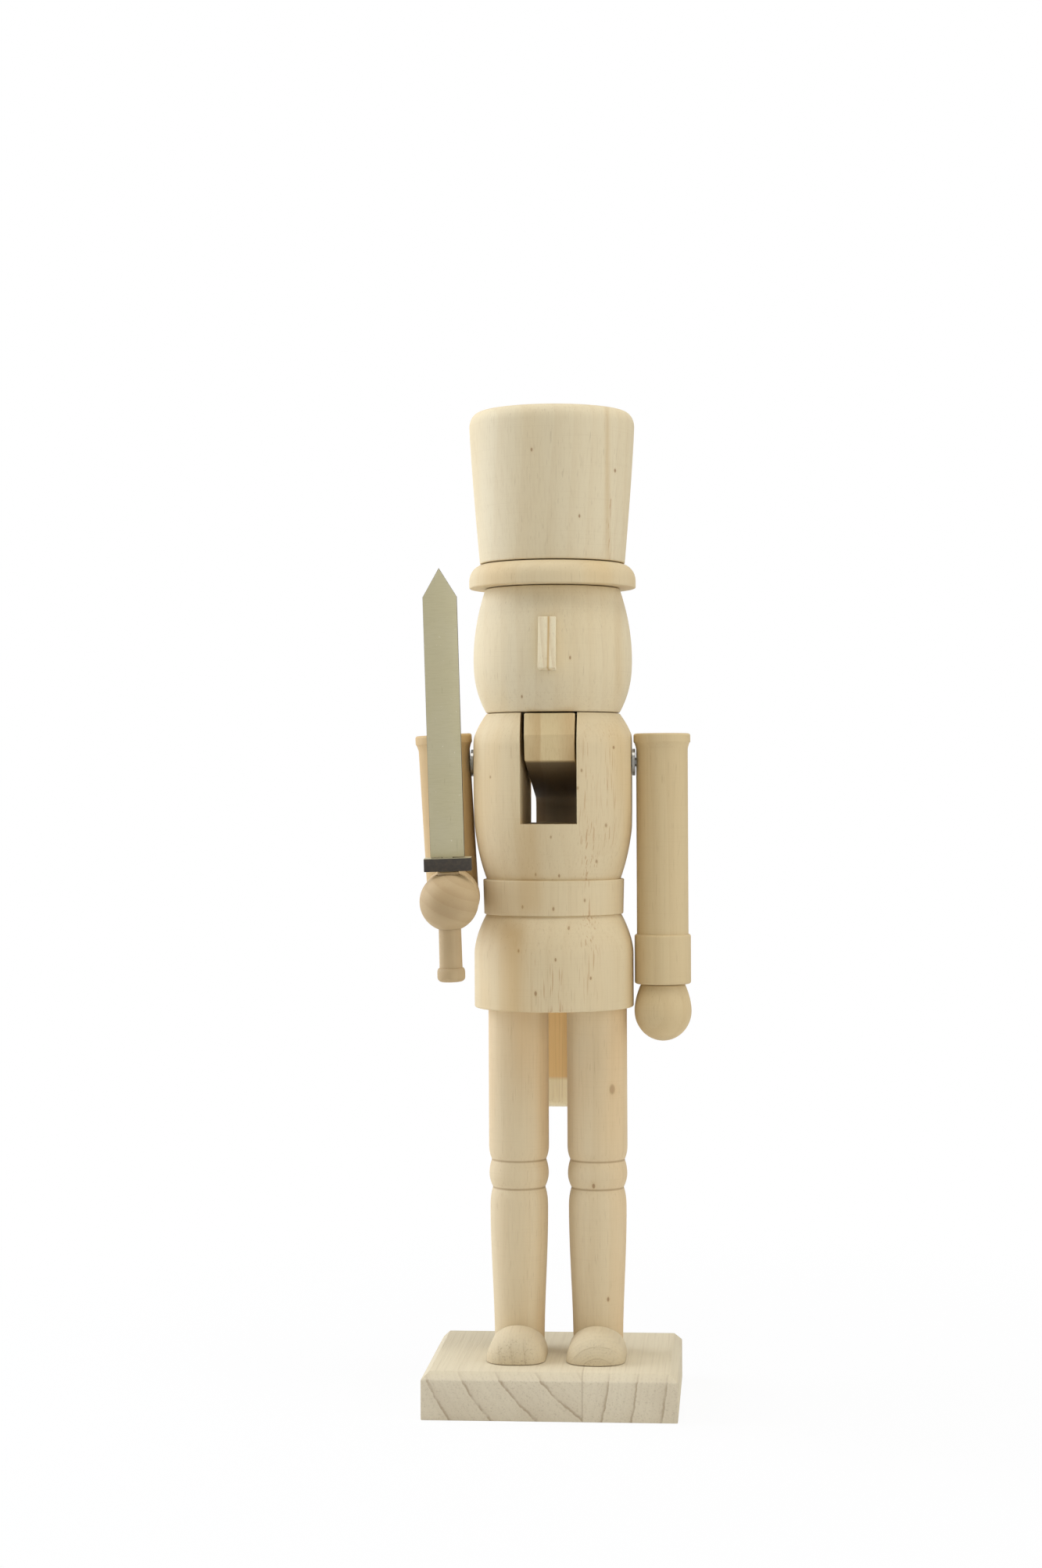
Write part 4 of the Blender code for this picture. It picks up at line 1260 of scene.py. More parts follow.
@dataclass
class Base:
    """Block that the figure stands on, with a chamfered top edge."""

    wood: EndGrain
    width: float = 0.096
    depth: float = 0.082
    height: float = 0.018
    chamfer: float = 0.003
    ease: float = 0.00045
    screw_head: float = 0.0043
    screw_shank: float = 0.0023
    screw_recess: float = 0.002
    screw_neck: float = 0.0049
    hole_over: float = 1.5
    hole_under: float = 0.25

    def build(self) -> None:
        """Mesh the block with its screw holes, and dress it."""
        high = (self.width / 2, self.depth / 2, self.height)
        block = block_mesh((-high[0], -high[1], 0), high, self.ease, self.chamfer)
        over, under = self.height * self.hole_over, -self.height * self.hole_under
        profile = [(0, over), (self.screw_shank, over), (self.screw_shank, self.screw_neck)]
        profile += [(self.screw_head, self.screw_recess), (self.screw_head, under), (0, under)]
        holes = [Lathe.mesh(profile, BORE_SEGMENTS) for _ in Side]
        for hole, side in zip(holes, Side):
            hole.transform(Matrix.Translation((JOINTS.leg(side), 0, 0)))
        Piece("base_block", "base", Body.FIGURE, Slot.SAWN, self.wood).add(block, *holes)


@dataclass
class Leg:
    """One turned leg with a beaded knee, and the half-round shoe toe in front of it."""

    side: Side
    leg_wood: TurnedWood
    toe_wood: EndGrain
    bottom: float = 0.0183
    ankle: float = 0.002
    taper: float = 0.053
    lower_groove: Point2 = (0.0101, 0.0817)
    upper_groove: Point2 = (0.0105, 0.0924)
    bead: Point2 = (0.01147, 0.08705)
    bead_power: float = 2.0
    top: float = 0.151
    ankle_radius: float = 0.0096
    calf_radius: float = 0.01115
    thigh_radius: float = 0.0116
    calf_shoulder: float = 0.008
    thigh_shoulder: float = 0.006
    shoulder_power: float = 2.5
    ease: float = 0.0005
    toe_radius: float = 0.0112
    toe_lift: float = 0.0003
    toe_reach: float = 0.028
    toe_nose: float = 0.009
    toe_heel: float = 0.004
    toe_bluntness: float = 0.8
    toe_ease: float = 0.0006
    sole_ease: float = 0.0003
    cove_over: float = 3.0

    def build(self) -> None:
        """Mesh and dress the leg and its shoe toe."""
        at = Matrix.Translation((JOINTS.leg(self.side), 0, 0))
        word = self.side.name.lower()
        leg = Lathe.mesh(soften(self.profile(), self.ease), SLIM_SEGMENTS)
        wood = self.leg_wood
        Piece("turned_leg_" + word, word + "_leg", Body.FIGURE, Slot.PALE, wood, at).add(leg)

        toe = Lathe.mesh(soften(self.toe_profile(), self.toe_ease), SLIM_SEGMENTS)
        level = Matrix.Translation((0, 0, self.bottom + self.toe_lift))
        toe.transform(level @ Matrix.Rotation(QUARTER, 4, "X"))
        halve(toe, (0, 0, self.bottom), (0, 0, -1), self.sole_ease)
        above = self.bottom + self.cove_over * self.toe_radius
        cove = upright_bore(self.ankle_radius + SEAT_GAP, 0, 0, above)
        wood = self.toe_wood
        Piece("shoe_toe_" + word, word + "_shoe", Body.FIGURE, Slot.SAWN, wood, at).add(toe, cove)

    def profile(self) -> Profile:
        """The leg's profile: thigh, bead between two grooves, calf and ankle.

        Returns:
            Its points, from top to bottom.
        """
        upper, lower = self.upper_groove, self.lower_groove
        thigh_ring = (self.thigh_radius, upper[1] + self.thigh_shoulder)
        calf_ring = (self.calf_radius, lower[1] - self.calf_shoulder)
        thigh = Lathe.swelling(upper, thigh_ring, self.shoulder_power)
        bead = Lathe.barrel(upper, self.bead, lower, (self.bead_power, self.bead_power))
        calf = Lathe.swelling(lower, calf_ring, self.shoulder_power)
        ankle = self.bottom + self.ankle
        taper = Lathe.eased((self.calf_radius, ankle + self.taper), (self.ankle_radius, ankle))
        top = [(0.0, self.top), (self.thigh_radius, self.top)]
        foot = [(self.ankle_radius, self.bottom), (0.0, self.bottom)]
        return top + thigh[::-1] + bead[1:-1] + calf + taper + foot

    def toe_profile(self) -> Profile:
        """The shoe toe's profile, with its nose at the top.

        Returns:
            Its points, from top to bottom.
        """
        points = []
        for share in shares(CURVE_STEPS):
            height = self.toe_reach - self.toe_nose * (1 - math.cos(QUARTER * share))
            bulge = math.sin(QUARTER * share) ** self.toe_bluntness
            points.append((self.toe_radius * bulge, height))
        return points + [(self.toe_radius, self.toe_heel), (0.0, self.toe_heel)]


@dataclass
class Torso:
    """Skirt, belt and torso turned from one blank, with the jaw slot sawn through it."""

    wood: TurnedWood
    skirt_bottom: float = 0.1513
    skirt_flare: float = 0.0152
    skirt_top_radius: float = 0.026
    skirt_radius: float = 0.03075
    skirt_power: float = 1.7
    hem: float = 0.0008
    belt_bottom: Point2 = (0.0269, 0.1873)
    belt_top: Point2 = (0.02725, 0.2007)
    waist_radius: float = 0.0259
    widest: Point2 = (0.0312, 0.242)
    chest_power: float = 2.85
    neck: Point2 = (0.0258, 0.2644)
    shoulder_slope: float = 0.0124
    shoulder_power: float = 1.67
    shoulder_flat: float = 0.0303
    ease: float = 0.0006
    slot_half: float = 0.01075
    slot_bottom: float = 0.2221
    shoulder_depth: float = 0.02
    leg_bore: float = 0.0043
    leg_depth: float = 0.0123

    def build(self) -> None:
        """Mesh the body, cut its slot and holes, and dress it."""
        mesh = Lathe.mesh(soften(self.profile(), self.ease), LARGE_SEGMENTS)
        piece = Piece("turned_body", "body", Body.FIGURE, Slot.PALE, self.wood)
        piece.add(mesh, *self.cutters())

    def profile(self) -> Profile:
        """The body's profile, from the neck down to the hem.

        Returns:
            Its points, from top to bottom.
        """
        slope_end = (self.widest[0], self.neck[1] - self.shoulder_slope)
        shoulders = Lathe.swelling(self.neck, slope_end, self.shoulder_power)
        waist = (self.waist_radius, self.belt_top[1])
        chest = Lathe.swelling(waist, self.widest, self.chest_power)[::-1]
        belt = [self.belt_top, self.belt_bottom]
        flare_top = (self.skirt_top_radius, self.belt_bottom[1])
        flare_end = (self.skirt_radius, self.belt_bottom[1] - self.skirt_flare)
        flare = Lathe.swelling(flare_top, flare_end, self.skirt_power)
        hem_ring = (self.skirt_radius, self.skirt_bottom + self.hem)
        hem = Lathe.rounded(hem_ring, self.hem, self.hem, False)
        sides = shoulders + chest + belt + flare + hem
        return [(0.0, self.neck[1])] + sides + [(0.0, self.skirt_bottom)]

    def cutters(self) -> List[Mesh]:
        """The slot, the flats under the arms and the holes for pivot, shoulders, legs and neck.

        Returns:
            Closed meshes to be cut out of the body.
        """
        wide = 2 * self.skirt_radius
        over, under = self.neck[1] + CUT_MARGIN, self.skirt_bottom - CUT_MARGIN
        half = self.slot_half
        cuts = [block_mesh((-half, -wide, self.slot_bottom), (half, wide, over))]
        cuts.append(JOINTS.pivot_hole(wide))
        for side in Side:
            sign, level = side.value, JOINTS.shoulder
            near, far = sorted((sign * self.shoulder_flat, sign * wide))
            cuts.append(block_mesh((near, -wide, self.belt_top[1]), (far, wide, over)))
            ends = (sign * self.shoulder_depth, 0, level), (sign * wide, 0, level)
            cuts.append(bore_mesh(JOINTS.shoulder_bore, *ends))
            leg_top = self.skirt_bottom + self.leg_depth
            cuts.append(upright_bore(self.leg_bore, JOINTS.leg(side), under, leg_top))
            cuts.append(JOINTS.neck_hole(side, self.neck[1] - JOINTS.neck_depth, over))
        return cuts


@dataclass
class Jaw:
    """Jaw lever: chin, neck and long handle sawn from one board."""

    wood: SawnBoard
    width: float = 0.019
    shift: float = 0.0004
    top: float = 0.018
    chin_front: float = -0.0412
    chin_height: float = 0.0178
    ridge_drop: float = 0.0082
    bevel: float = 0.0022
    opening: float = math.radians(30)
    underside: float = math.radians(14)
    handle_front: float = 0.0206
    handle_thickness: float = 0.012
    end_thickness: float = 0.0105
    handle_length: float = 0.138
    end_round: float = 0.005
    shoulder_round: float = 0.006
    inner_round: float = 0.004
    ease: float = 0.00045

    def build(self) -> None:
        """Mesh the lever with its pivot hole, and dress it."""
        mesh = board_mesh(self.outline(), self.width, self.ease)
        mesh.transform(Matrix.Translation((self.shift, *JOINTS.pivot)))
        piece = Piece("jaw_board", "jaw_lever", Body.JAW, Slot.JAW, self.wood)
        piece.add(mesh, JOINTS.pivot_hole(self.width))

    def outline(self) -> Profile:
        """Side outline about the pivot, as (back, up).

        Returns:
            Its points.
        """
        chin_bottom = self.top - self.chin_height
        chin_back = self.chin_front + self.bevel
        handle_back = self.handle_front + self.handle_thickness
        handle_end = chin_bottom - self.handle_length
        run = self.handle_front - self.chin_front - self.bevel
        neck_bottom = chin_bottom - run * math.tan(self.underside)
        slope_start = self.top * (1 - math.cos(self.opening)) / math.sin(self.opening)
        shoulder = self.top - (handle_back - slope_start) * math.tan(self.opening)
        return arc_corners([
            (slope_start, self.top, 0.0),
            (chin_back, self.top, self.ease),
            (self.chin_front, self.top - self.ridge_drop, self.ease),
            (chin_back, chin_bottom, self.ease),
            (self.handle_front, neck_bottom, self.inner_round),
            (self.handle_front, handle_end, self.end_round),
            (self.handle_front + self.end_thickness, handle_end, self.end_round),
            (handle_back, shoulder, self.shoulder_round),
        ])


@dataclass
class Head:
    """Turned head with a nose wedge glued to it, under a turned brim and crown."""

    head_wood: TurnedWood
    nose_wood: TurnedWood
    brim_wood: TurnedWood
    crown_wood: TurnedWood
    bottom: Point2 = (0.02575, 0.2647)
    widest: Point2 = (0.03065, 0.2853)
    top: Point2 = (0.026, 0.3125)
    head_powers: Point2 = (1.97, 2.35)
    dowel_bore: float = 0.0053
    dowel_depth: float = 0.0123
    nose_width: float = 0.0066
    nose_height: float = 0.0209
    nose_level: float = 0.0355
    nose_top_depth: float = 0.0022
    nose_depth: float = 0.0062
    nose_undercut: float = 0.0012
    nose_buried: float = 0.006
    nose_ease: float = 0.0005
    brim_bottom: float = 0.3128
    brim_top: float = 0.322
    brim_radius: float = 0.0322
    brim_round: Point2 = (0.0058, 0.0063)
    crown_bottom: Point2 = (0.028, 0.3223)
    crown_top: float = 0.3806
    crown_radius: float = 0.0319
    crown_round: Point2 = (0.004, 0.0055)
    crown_power: float = 1.2
    ease: float = 0.0006
    crown_ease: float = 0.0005

    def build(self) -> None:
        """Mesh and dress the head, the nose, the brim and the crown."""
        low, high = self.bottom[1] - CUT_MARGIN, self.bottom[1] + JOINTS.neck_depth
        neck_holes = [JOINTS.neck_hole(side, low, high) for side in Side]
        ease = self.ease
        self._turn("turned_head", "head", self.head_wood, self.profile(), ease, *neck_holes)
        self._nose()
        self._turn("turned_brim", "hat_brim", self.brim_wood, self.brim_profile(), ease)
        crown = self.crown_profile()
        self._turn("turned_crown", "hat_crown", self.crown_wood, crown, self.crown_ease)

    def _turn(
        self, name: str, node: str, wood: TurnedWood, profile: Profile, ease: float, *holes: Mesh
    ) -> None:
        """Mesh and dress a turned piece, bored for the hat's dowel.

        Args:
            name, node: the piece's name and the CAD node that it replaces.
            wood: its finish.
            profile, ease: its profile, and the size of its eased corners.
            holes: what else is cut out of it.
        """
        low, high = self.top[1] - self.dowel_depth, self.crown_bottom[1] + self.dowel_depth
        dowel = upright_bore(self.dowel_bore, 0, low, high)
        mesh = Lathe.mesh(soften(profile, ease), LARGE_SEGMENTS)
        Piece(name, node, Body.FIGURE, Slot.PALE, wood).add(mesh, dowel, *holes)

    def profile(self, grown: float = 0.0) -> Profile:
        """The head's profile, grown where it is used as a cutter.

        Args:
            grown: how much wider it is than the head.

        Returns:
            Its points, from top to bottom.
        """
        rings = (self.top, self.widest, self.bottom)
        side = Lathe.barrel(*((ring[0] + grown, ring[1]) for ring in rings), self.head_powers)
        return [(0.0, self.top[1])] + side + [(0.0, self.bottom[1])]

    def brim_profile(self) -> Profile:
        """The brim's profile, rounded above.

        Returns:
            Its points, from top to bottom.
        """
        across, down = self.brim_round
        edge = Lathe.rounded((self.brim_radius, self.brim_top - down), across, down)
        under = [(self.brim_radius, self.brim_bottom), (0.0, self.brim_bottom)]
        return [(0.0, self.brim_top)] + edge + under

    def crown_profile(self) -> Profile:
        """The crown's profile, narrower below.

        Returns:
            Its points, from top to bottom.
        """
        across, down = self.crown_round
        ring = (self.crown_radius, self.crown_top - down)
        side = Lathe.swelling(self.crown_bottom, ring, self.crown_power)[::-1]
        top = [(0.0, self.crown_top)] + Lathe.rounded(ring, across, down)
        return top + side[1:] + [(0.0, self.crown_bottom[1])]

    def _nose(self) -> None:
        """Mesh and dress the nose wedge, hollowed to the head behind it."""
        front = -self.widest[0]
        back = front + self.nose_buried
        top = self.bottom[1] + self.nose_level
        low = top - self.nose_height
        bridge = (front - self.nose_top_depth + self.nose_undercut, top)
        tip = (front - self.nose_depth, low + self.nose_undercut)
        outline = [(back, top), bridge, tip, (back, low)]
        outline = soften(outline, self.nose_ease, closed=True, skip=(0, 3))
        mesh = board_mesh(outline, self.nose_width, self.nose_ease)
        seat = Lathe.mesh(self.profile(SEAT_GAP), LARGE_SEGMENTS)
        Piece("nose_wedge", "nose", Body.FIGURE, Slot.PALE, self.nose_wood).add(mesh, seat)


@dataclass
class ArmSizes:
    """Sizes that both arms share, about the shoulder pin, and the profiles made from them."""

    offset: float = 0.04205
    pin_end: float = 0.0033
    radius: float = 0.00995
    above_pin: float = 0.011
    rim_radius: float = 0.01095
    rim_height: float = 0.0033
    rim_flare: float = 0.0026
    flare_power: float = 0.6
    edge: float = 0.0009
    cuff_radius: float = 0.01085
    cuff_height: float = 0.0191
    rod_ease: float = 0.0003
    hand_radius: float = 0.011
    hand_top_radius: float = 0.00855
    hand_rise: float = 0.0101
    hand_drop: float = 0.0116
    hand_power: float = 1.8
    hand_ease: float = 0.0004
    dowel_bore: float = 0.0028
    dowel_depth: float = 0.0073
    dowel_entry: float = 0.005

    def top_profile(self) -> Profile:
        """Rim at the shoulder and the flare below it.

        Returns:
            Its points, from top to bottom.
        """
        rim_bottom = self.above_pin - self.rim_height
        below = (self.radius, rim_bottom - self.rim_flare)
        flare = Lathe.swelling(below, (self.rim_radius, rim_bottom), self.flare_power)
        rim = Lathe.rounded((self.rim_radius, self.above_pin - self.edge), self.edge, self.edge)
        return [(0.0, self.above_pin)] + rim + flare[::-1]

    def cuff_profile(self, end: float) -> Profile:
        """Cuff down to the end that meets the hand.

        Args:
            end: the height of that end.

        Returns:
            Its points, from top to bottom.
        """
        top = end + self.cuff_height
        step = self.cuff_radius - self.radius
        upper = Lathe.rounded((self.cuff_radius, top - self.edge), step, self.edge)
        lower = Lathe.rounded((self.cuff_radius, end + self.edge), self.edge, self.edge, False)
        return [(self.radius, top)] + upper[1:] + lower + [(0.0, end)]

    def rod(self, profile: Profile) -> Mesh:
        """A rod of an arm."""
        return Lathe.mesh(soften(profile, self.rod_ease), SLIM_SEGMENTS)

    def hand(self, end: float) -> Mesh:
        """Round hand below an arm's end.

        Args:
            end: the height of that end.

        Returns:
            Its mesh.
        """
        top = end - SEAT_GAP
        centre = top - self.hand_rise
        upper_ends = (self.hand_top_radius, top), (self.hand_radius, centre)
        profile = [(0.0, top)] + Lathe.swelling(*upper_ends, self.hand_power)
        for share in shares(CURVE_STEPS)[1:-1]:
            drop = self.hand_drop * math.sin(QUARTER * share)
            profile.append((self.hand_radius * math.cos(QUARTER * share), centre - drop))
        profile.append((0.0, centre - self.hand_drop))
        return Lathe.mesh(soften(profile, self.hand_ease), SLIM_SEGMENTS)

    def hand_dowel(self, end: float) -> Mesh:
        """The hole of the dowel between an arm's end and its hand."""
        return upright_bore(self.dowel_bore, 0, end - self.dowel_entry, end + self.dowel_depth)

    def pin_hole(self, side: Side) -> Mesh:
        """The shoulder pin's hole, from the body's side."""
        inner, outer = -side.value * 2 * self.radius, side.value * self.pin_end
        return bore_mesh(JOINTS.shoulder_bore, (inner, 0, 0), (outer, 0, 0))


@dataclass
class StraightArm:
    """Arm that hangs straight down on the figure's left."""

    arm_wood: TurnedWood
    hand_wood: TurnedWood
    sizes: ArmSizes = field(default_factory=ArmSizes)
    length: float = 0.0964

    def build(self) -> None:
        """Mesh and dress the arm and its hand."""
        sizes = self.sizes
        at = Matrix.Translation((sizes.offset, 0, JOINTS.shoulder))
        end = sizes.above_pin - self.length
        rod = sizes.rod(sizes.top_profile() + sizes.cuff_profile(end))
        holes = sizes.pin_hole(Side.LEFT), sizes.hand_dowel(end)
        arm, hand = ("straight_arm_rod", "left_arm"), ("straight_hand", "left_hand")
        Piece(*arm, Body.STRAIGHT_ARM, Slot.TAN, self.arm_wood, at).add(rod, *holes)
        piece = Piece(*hand, Body.STRAIGHT_ARM, Slot.TAN, self.hand_wood, at)
        piece.add(sizes.hand(end), sizes.hand_dowel(end))


@dataclass
class SwordArm:
    """Bent arm on the figure's right: two mitred rods and the hand that holds the sword."""

    upper_wood: TurnedWood
    fore_wood: TurnedWood
    hand_wood: TurnedWood
    grip_wood: TurnedWood
    blade_face: SilverFace
    guard_face: SilverFace
    sizes: ArmSizes = field(default_factory=ArmSizes)
    swing: float = math.radians(1.9)
    lean: float = math.radians(-3.2)
    toe_in: float = math.radians(3.9)
    elbow_drop: float = 0.0506
    fore_reach: float = 0.0349
    elbow_bore: float = 0.0028
    elbow_depth: float = 0.0083
    mitre_ease: float = 0.0003
    sword_lean: float = math.radians(1.75)
    grip_bore: float = 0.0046
    grip_top: Point2 = (0.004, 0.0112)
    grip_bottom: float = 0.0043
    grip_drop: float = 0.0298
    grip_ease: float = 0.0003
    pommel_radius: float = 0.0052
    pommel_height: float = 0.0052
    pommel_edge: float = 0.0052 / 3
    guard_low: Point3 = (-0.0088, -0.005, 0.0115)
    guard_high: Point3 = (0.0088, 0.005, 0.0164)
    guard_ease: float = 0.0003
    blade_bottom: float = 0.0167
    blade_half: float = 0.006325
    blade_length: float = 0.0965
    blade_tip: float = 0.0107
    blade_thickness: float = 0.004
    blade_ease: float = 0.00025
    tang_half: float = 0.002
    tang_end: float = 0.0052
    socket_over: float = 0.004

    def build(self) -> None:
        """Mesh and dress the arm, the hand and the sword."""
        turn = Euler((self.swing, self.lean, self.toe_in), "XYZ").to_matrix().to_4x4()
        shoulder = Matrix.Translation((-self.sizes.offset, 0, JOINTS.shoulder)) @ turn
        elbow = shoulder @ Matrix.Translation((0, 0, -self.elbow_drop))
        forward = elbow @ Matrix.Rotation(-QUARTER, 4, "X")
        reach = self.fore_reach + SEAT_GAP + self.sizes.hand_rise
        lean = Matrix.Rotation(self.sword_lean, 4, "Y")
        sword = elbow @ Matrix.Translation((0, -reach, 0)) @ lean
        self._rods(shoulder, forward)
        self._hand(forward, forward.inverted() @ sword)
        self._sword(sword)

    @staticmethod
    def _piece(name: str, node: str, slot: Slot, finish: Finish, place: Matrix) -> Piece:
        """A piece that rides on the arm."""
        return Piece(name, node, Body.SWORD_ARM, slot, finish, place)

    def _elbow_dowel(self, centre: Vector, way: Point3) -> Mesh:
        """The elbow dowel's hole, about the elbow in a rod's own frame."""
        slant = Vector(way).normalized() * self.elbow_depth
        return bore_mesh(self.elbow_bore, centre - slant, centre + slant)

    def _rods(self, shoulder: Matrix, forward: Matrix) -> None:
        """Mesh and dress the upper arm and the forearm, sawn to meet in a mitre.

        Args:
            shoulder, forward: the frames of the two rods.
        """
        sizes = self.sizes
        stub = 2 * sizes.radius
        gap = SEAT_GAP / 2 / math.sqrt(2)
        low = -self.elbow_drop - stub
        rod = sizes.rod(sizes.top_profile() + [(sizes.radius, low), (0.0, low)])
        halve(rod, (0, gap, gap - self.elbow_drop), (0, -1, -1), self.mitre_ease)
        dowel = self._elbow_dowel(Vector((0, 0, -self.elbow_drop)), (0, 1, 1))
        names = "sword_upper_arm", "right_upper_arm"
        piece = self._piece(*names, Slot.TAN, self.upper_wood, shoulder)
        piece.add(rod, sizes.pin_hole(Side.RIGHT), dowel)

        end = -self.fore_reach
        rod = sizes.rod([(0.0, stub), (sizes.radius, stub)] + sizes.cuff_profile(end))
        halve(rod, (0, gap, -gap), (0, -1, 1), self.mitre_ease)
        dowel = self._elbow_dowel(Vector(), (0, -1, 1))
        piece = self._piece("sword_forearm", "right_forearm", Slot.TAN, self.fore_wood, forward)
        piece.add(rod, dowel, sizes.hand_dowel(end))

    def _hand(self, forward: Matrix, sword: Matrix) -> None:
        """Mesh and dress the hand, bored for the sword's grip.

        Args:
            forward: the forearm's frame.
            sword: the sword's frame, seen from there.
        """
        through = 2 * self.sizes.hand_radius
        bore = upright_bore(self.grip_bore, 0, -through, through)
        bore.transform(sword)
        end = -self.fore_reach
        piece = self._piece("sword_hand", "right_hand", Slot.TAN, self.hand_wood, forward)
        piece.add(self.sizes.hand(end), bore, self.sizes.hand_dowel(end))

    def _sword(self, place: Matrix) -> None:
        """Mesh and dress the grip, the guard and the blade.

        Args:
            place: the sword's frame.
        """
        grip = Lathe.mesh(soften(self.grip_profile(), self.grip_ease), SLIM_SEGMENTS)
        piece = self._piece("sword_grip_rod", "sword_grip", Slot.TAN, self.grip_wood, place)
        piece.add(grip, self._socket())
        guard = block_mesh(self.guard_low, self.guard_high, self.guard_ease)
        piece = self._piece("sword_cross_guard", "sword_guard", Slot.DARK, self.guard_face, place)
        piece.add(guard, self._socket())
        blade = board_mesh(self.blade_outline(), self.blade_thickness, self.blade_ease)
        blade.transform(Matrix.Rotation(QUARTER, 4, "Z"))
        piece = self._piece("sword_board", "sword_blade", Slot.SILVER, self.blade_face, place)
        piece.add(blade)

    def _socket(self) -> Mesh:
        """The hole for the blade's tang.

        Returns:
            The block that is cut out.
        """
        side = (self.tang_half + SEAT_GAP, self.blade_thickness / 2 + SEAT_GAP)
        low = (-side[0], -side[1], self.tang_end - SEAT_GAP)
        return block_mesh(low, (*side, self.blade_bottom + self.socket_over))

    def grip_profile(self) -> Profile:
        """The grip's profile, from the guard down to the pommel.

        Returns:
            Its points, from top to bottom.
        """
        neck = self.pommel_radius - self.grip_bottom
        pommel_top = self.pommel_height - self.grip_drop
        edge = self.pommel_edge
        upper = Lathe.rounded((self.pommel_radius, pommel_top - edge), neck, edge)
        lower = Lathe.rounded((self.pommel_radius, edge - self.grip_drop), edge, edge, False)
        shaft = [(0.0, self.grip_top[1]), self.grip_top, (self.grip_bottom, pommel_top)]
        return shaft + upper[1:] + lower + [(0.0, -self.grip_drop)]

    def blade_outline(self) -> Profile:
        """The blade's face: tang, square shoulders and point.

        Returns:
            Its points.
        """
        low, shoulder = self.blade_bottom, self.blade_bottom + self.blade_length
        half, tang = self.blade_half, self.tang_half
        right = [(tang, self.tang_end), (tang, low), (half, low), (half, shoulder)]
        left = [(-across, up) for across, up in reversed(right)]
        return right + [(0.0, shoulder + self.blade_tip)] + left


@dataclass
class Hardware:
    """Pins, washers, screws and dowels: solids of the frame that keep their shape."""

    steel: Tuple[str, ...] = (
        "pivot_pin",
        "left_leg_screw",
        "right_leg_screw",
        "left_shoulder_pin",
        "right_shoulder_pin",
        "left_shoulder_washer",
        "right_shoulder_washer",
    )
    dowels: Tuple[str, ...] = (
        "left_leg_dowel",
        "right_leg_dowel",
        "neck_dowel_left",
        "neck_dowel_right",
        "hat_dowel",
        "left_hand_dowel",
        "elbow_dowel",
        "right_hand_dowel",
    )
    dowel_seed: float = 40.0
    dowel_pale: Colour = shade(208, 184, 146)
    dowel_honey: Colour = shade(200, 168, 118)

    def dress(self) -> None:
        """Give each solid its finish."""
        for index, name in enumerate(self.steel):
            self._dress(name, TurnedSteel("steel_" + name, float(index)))
        tones = {"pale": self.dowel_pale, "honey": self.dowel_honey}
        for index, name in enumerate(self.dowels):
            self._dress(name, TurnedWood("rod_" + name, self.dowel_seed + index, **tones))

    @staticmethod
    def _dress(name: str, finish: Finish) -> None:
        """Give one solid its finish.

        Args:
            name: the solid.
            finish: what it wears.
        """
        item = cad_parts[name]
        material = finish.material()
        if not item.material_slots:
            item.data.materials.append(material)
        for slot in item.material_slots:
            slot.material = material
        LOG.info("%s: finish %s", name, material.name)


@dataclass
class Lamp:
    """A soft lamp that looks at the figure's middle.

    Attributes:
        name: the lamp's name.
        place: where it hangs.
        size: its width and height.
        power: its strength in watts.
        tint: its colour.
    """

    name: str
    place: Point3
    size: Point2
    power: float
    tint: Colour = (1.0, 1.0, 1.0)

    def hang(self, target: Vector) -> None:
        """Hang the lamp so that it looks at a point.

        Args:
            target: that point.
        """
        light = bpy.data.lights.new(self.name, "AREA")
        light.shape = "RECTANGLE"
        light.size, light.size_y = self.size
        light.energy = self.power
        light.color = self.tint
        item = placed(self.name, light)
        item.location = self.place
        item.rotation_euler = (target - Vector(self.place)).to_track_quat("-Z", "Y").to_euler()
        LOG.info("lamp %s", self.name)


def seen_share(graph: ShaderGraph) -> Signal:
    """1 for what the camera sees, also in metal and through glass; 0 for light on the object."""
    path = graph.node("ShaderNodeLightPath", output="Is Camera Ray")
    return path.most(path.other("Is Glossy Ray")).most(path.other("Is Transmission Ray"))


@dataclass(frozen=True)
class Backdrop(Finish):
    """Pale paper that the camera sees as white, with a trace of the object's shadow.

    Attributes:
        shadow_reach: how far from the figure its shadow shows.
        shadow_core: the part of that reach in which it shows in full.
        shadow_share: how much of the paper itself is seen there.
    """

    shadow_reach: float = 0.45
    shadow_core: float = 0.25
    shadow_share: float = 0.08

    PAPER = (0.86, 0.86, 0.86)
    MOTTLE = Grain((14, 14, 14), 0, 3.0, 0.3, 0.7, (0.84, 0.84, 0.84), 0.5)
    ROUGHNESS = 0.9

    def paint(self, graph: ShaderGraph) -> None:
        """Paint the paper, and what the camera sees of it.

        Args:
            graph: the material's graph.
        """
        colour, _, _ = graph.grown(self.PAPER, self.seed, self.MOTTLE)
        sockets = {"Base Color": colour, "Roughness": self.ROUGHNESS}
        paper = graph.node("ShaderNodeBsdfPrincipled", sockets=sockets)
        seen = graph.node("ShaderNodeEmission", sockets={"Color": WHITE, "Strength": 1.0})
        core = self.shadow_reach * self.shadow_core
        near = graph.reach((1, 1, 0), (0, 0, 0)).above(self.shadow_reach, core)
        share = seen_share(graph) * (1 - near * self.shadow_share)
        sockets = {"Fac": share, "Shader": paper, "Shader_001": seen}
        mixed = graph.node("ShaderNodeMixShader", sockets=sockets)
        graph.node("ShaderNodeOutputMaterial", sockets={"Surface": mixed})


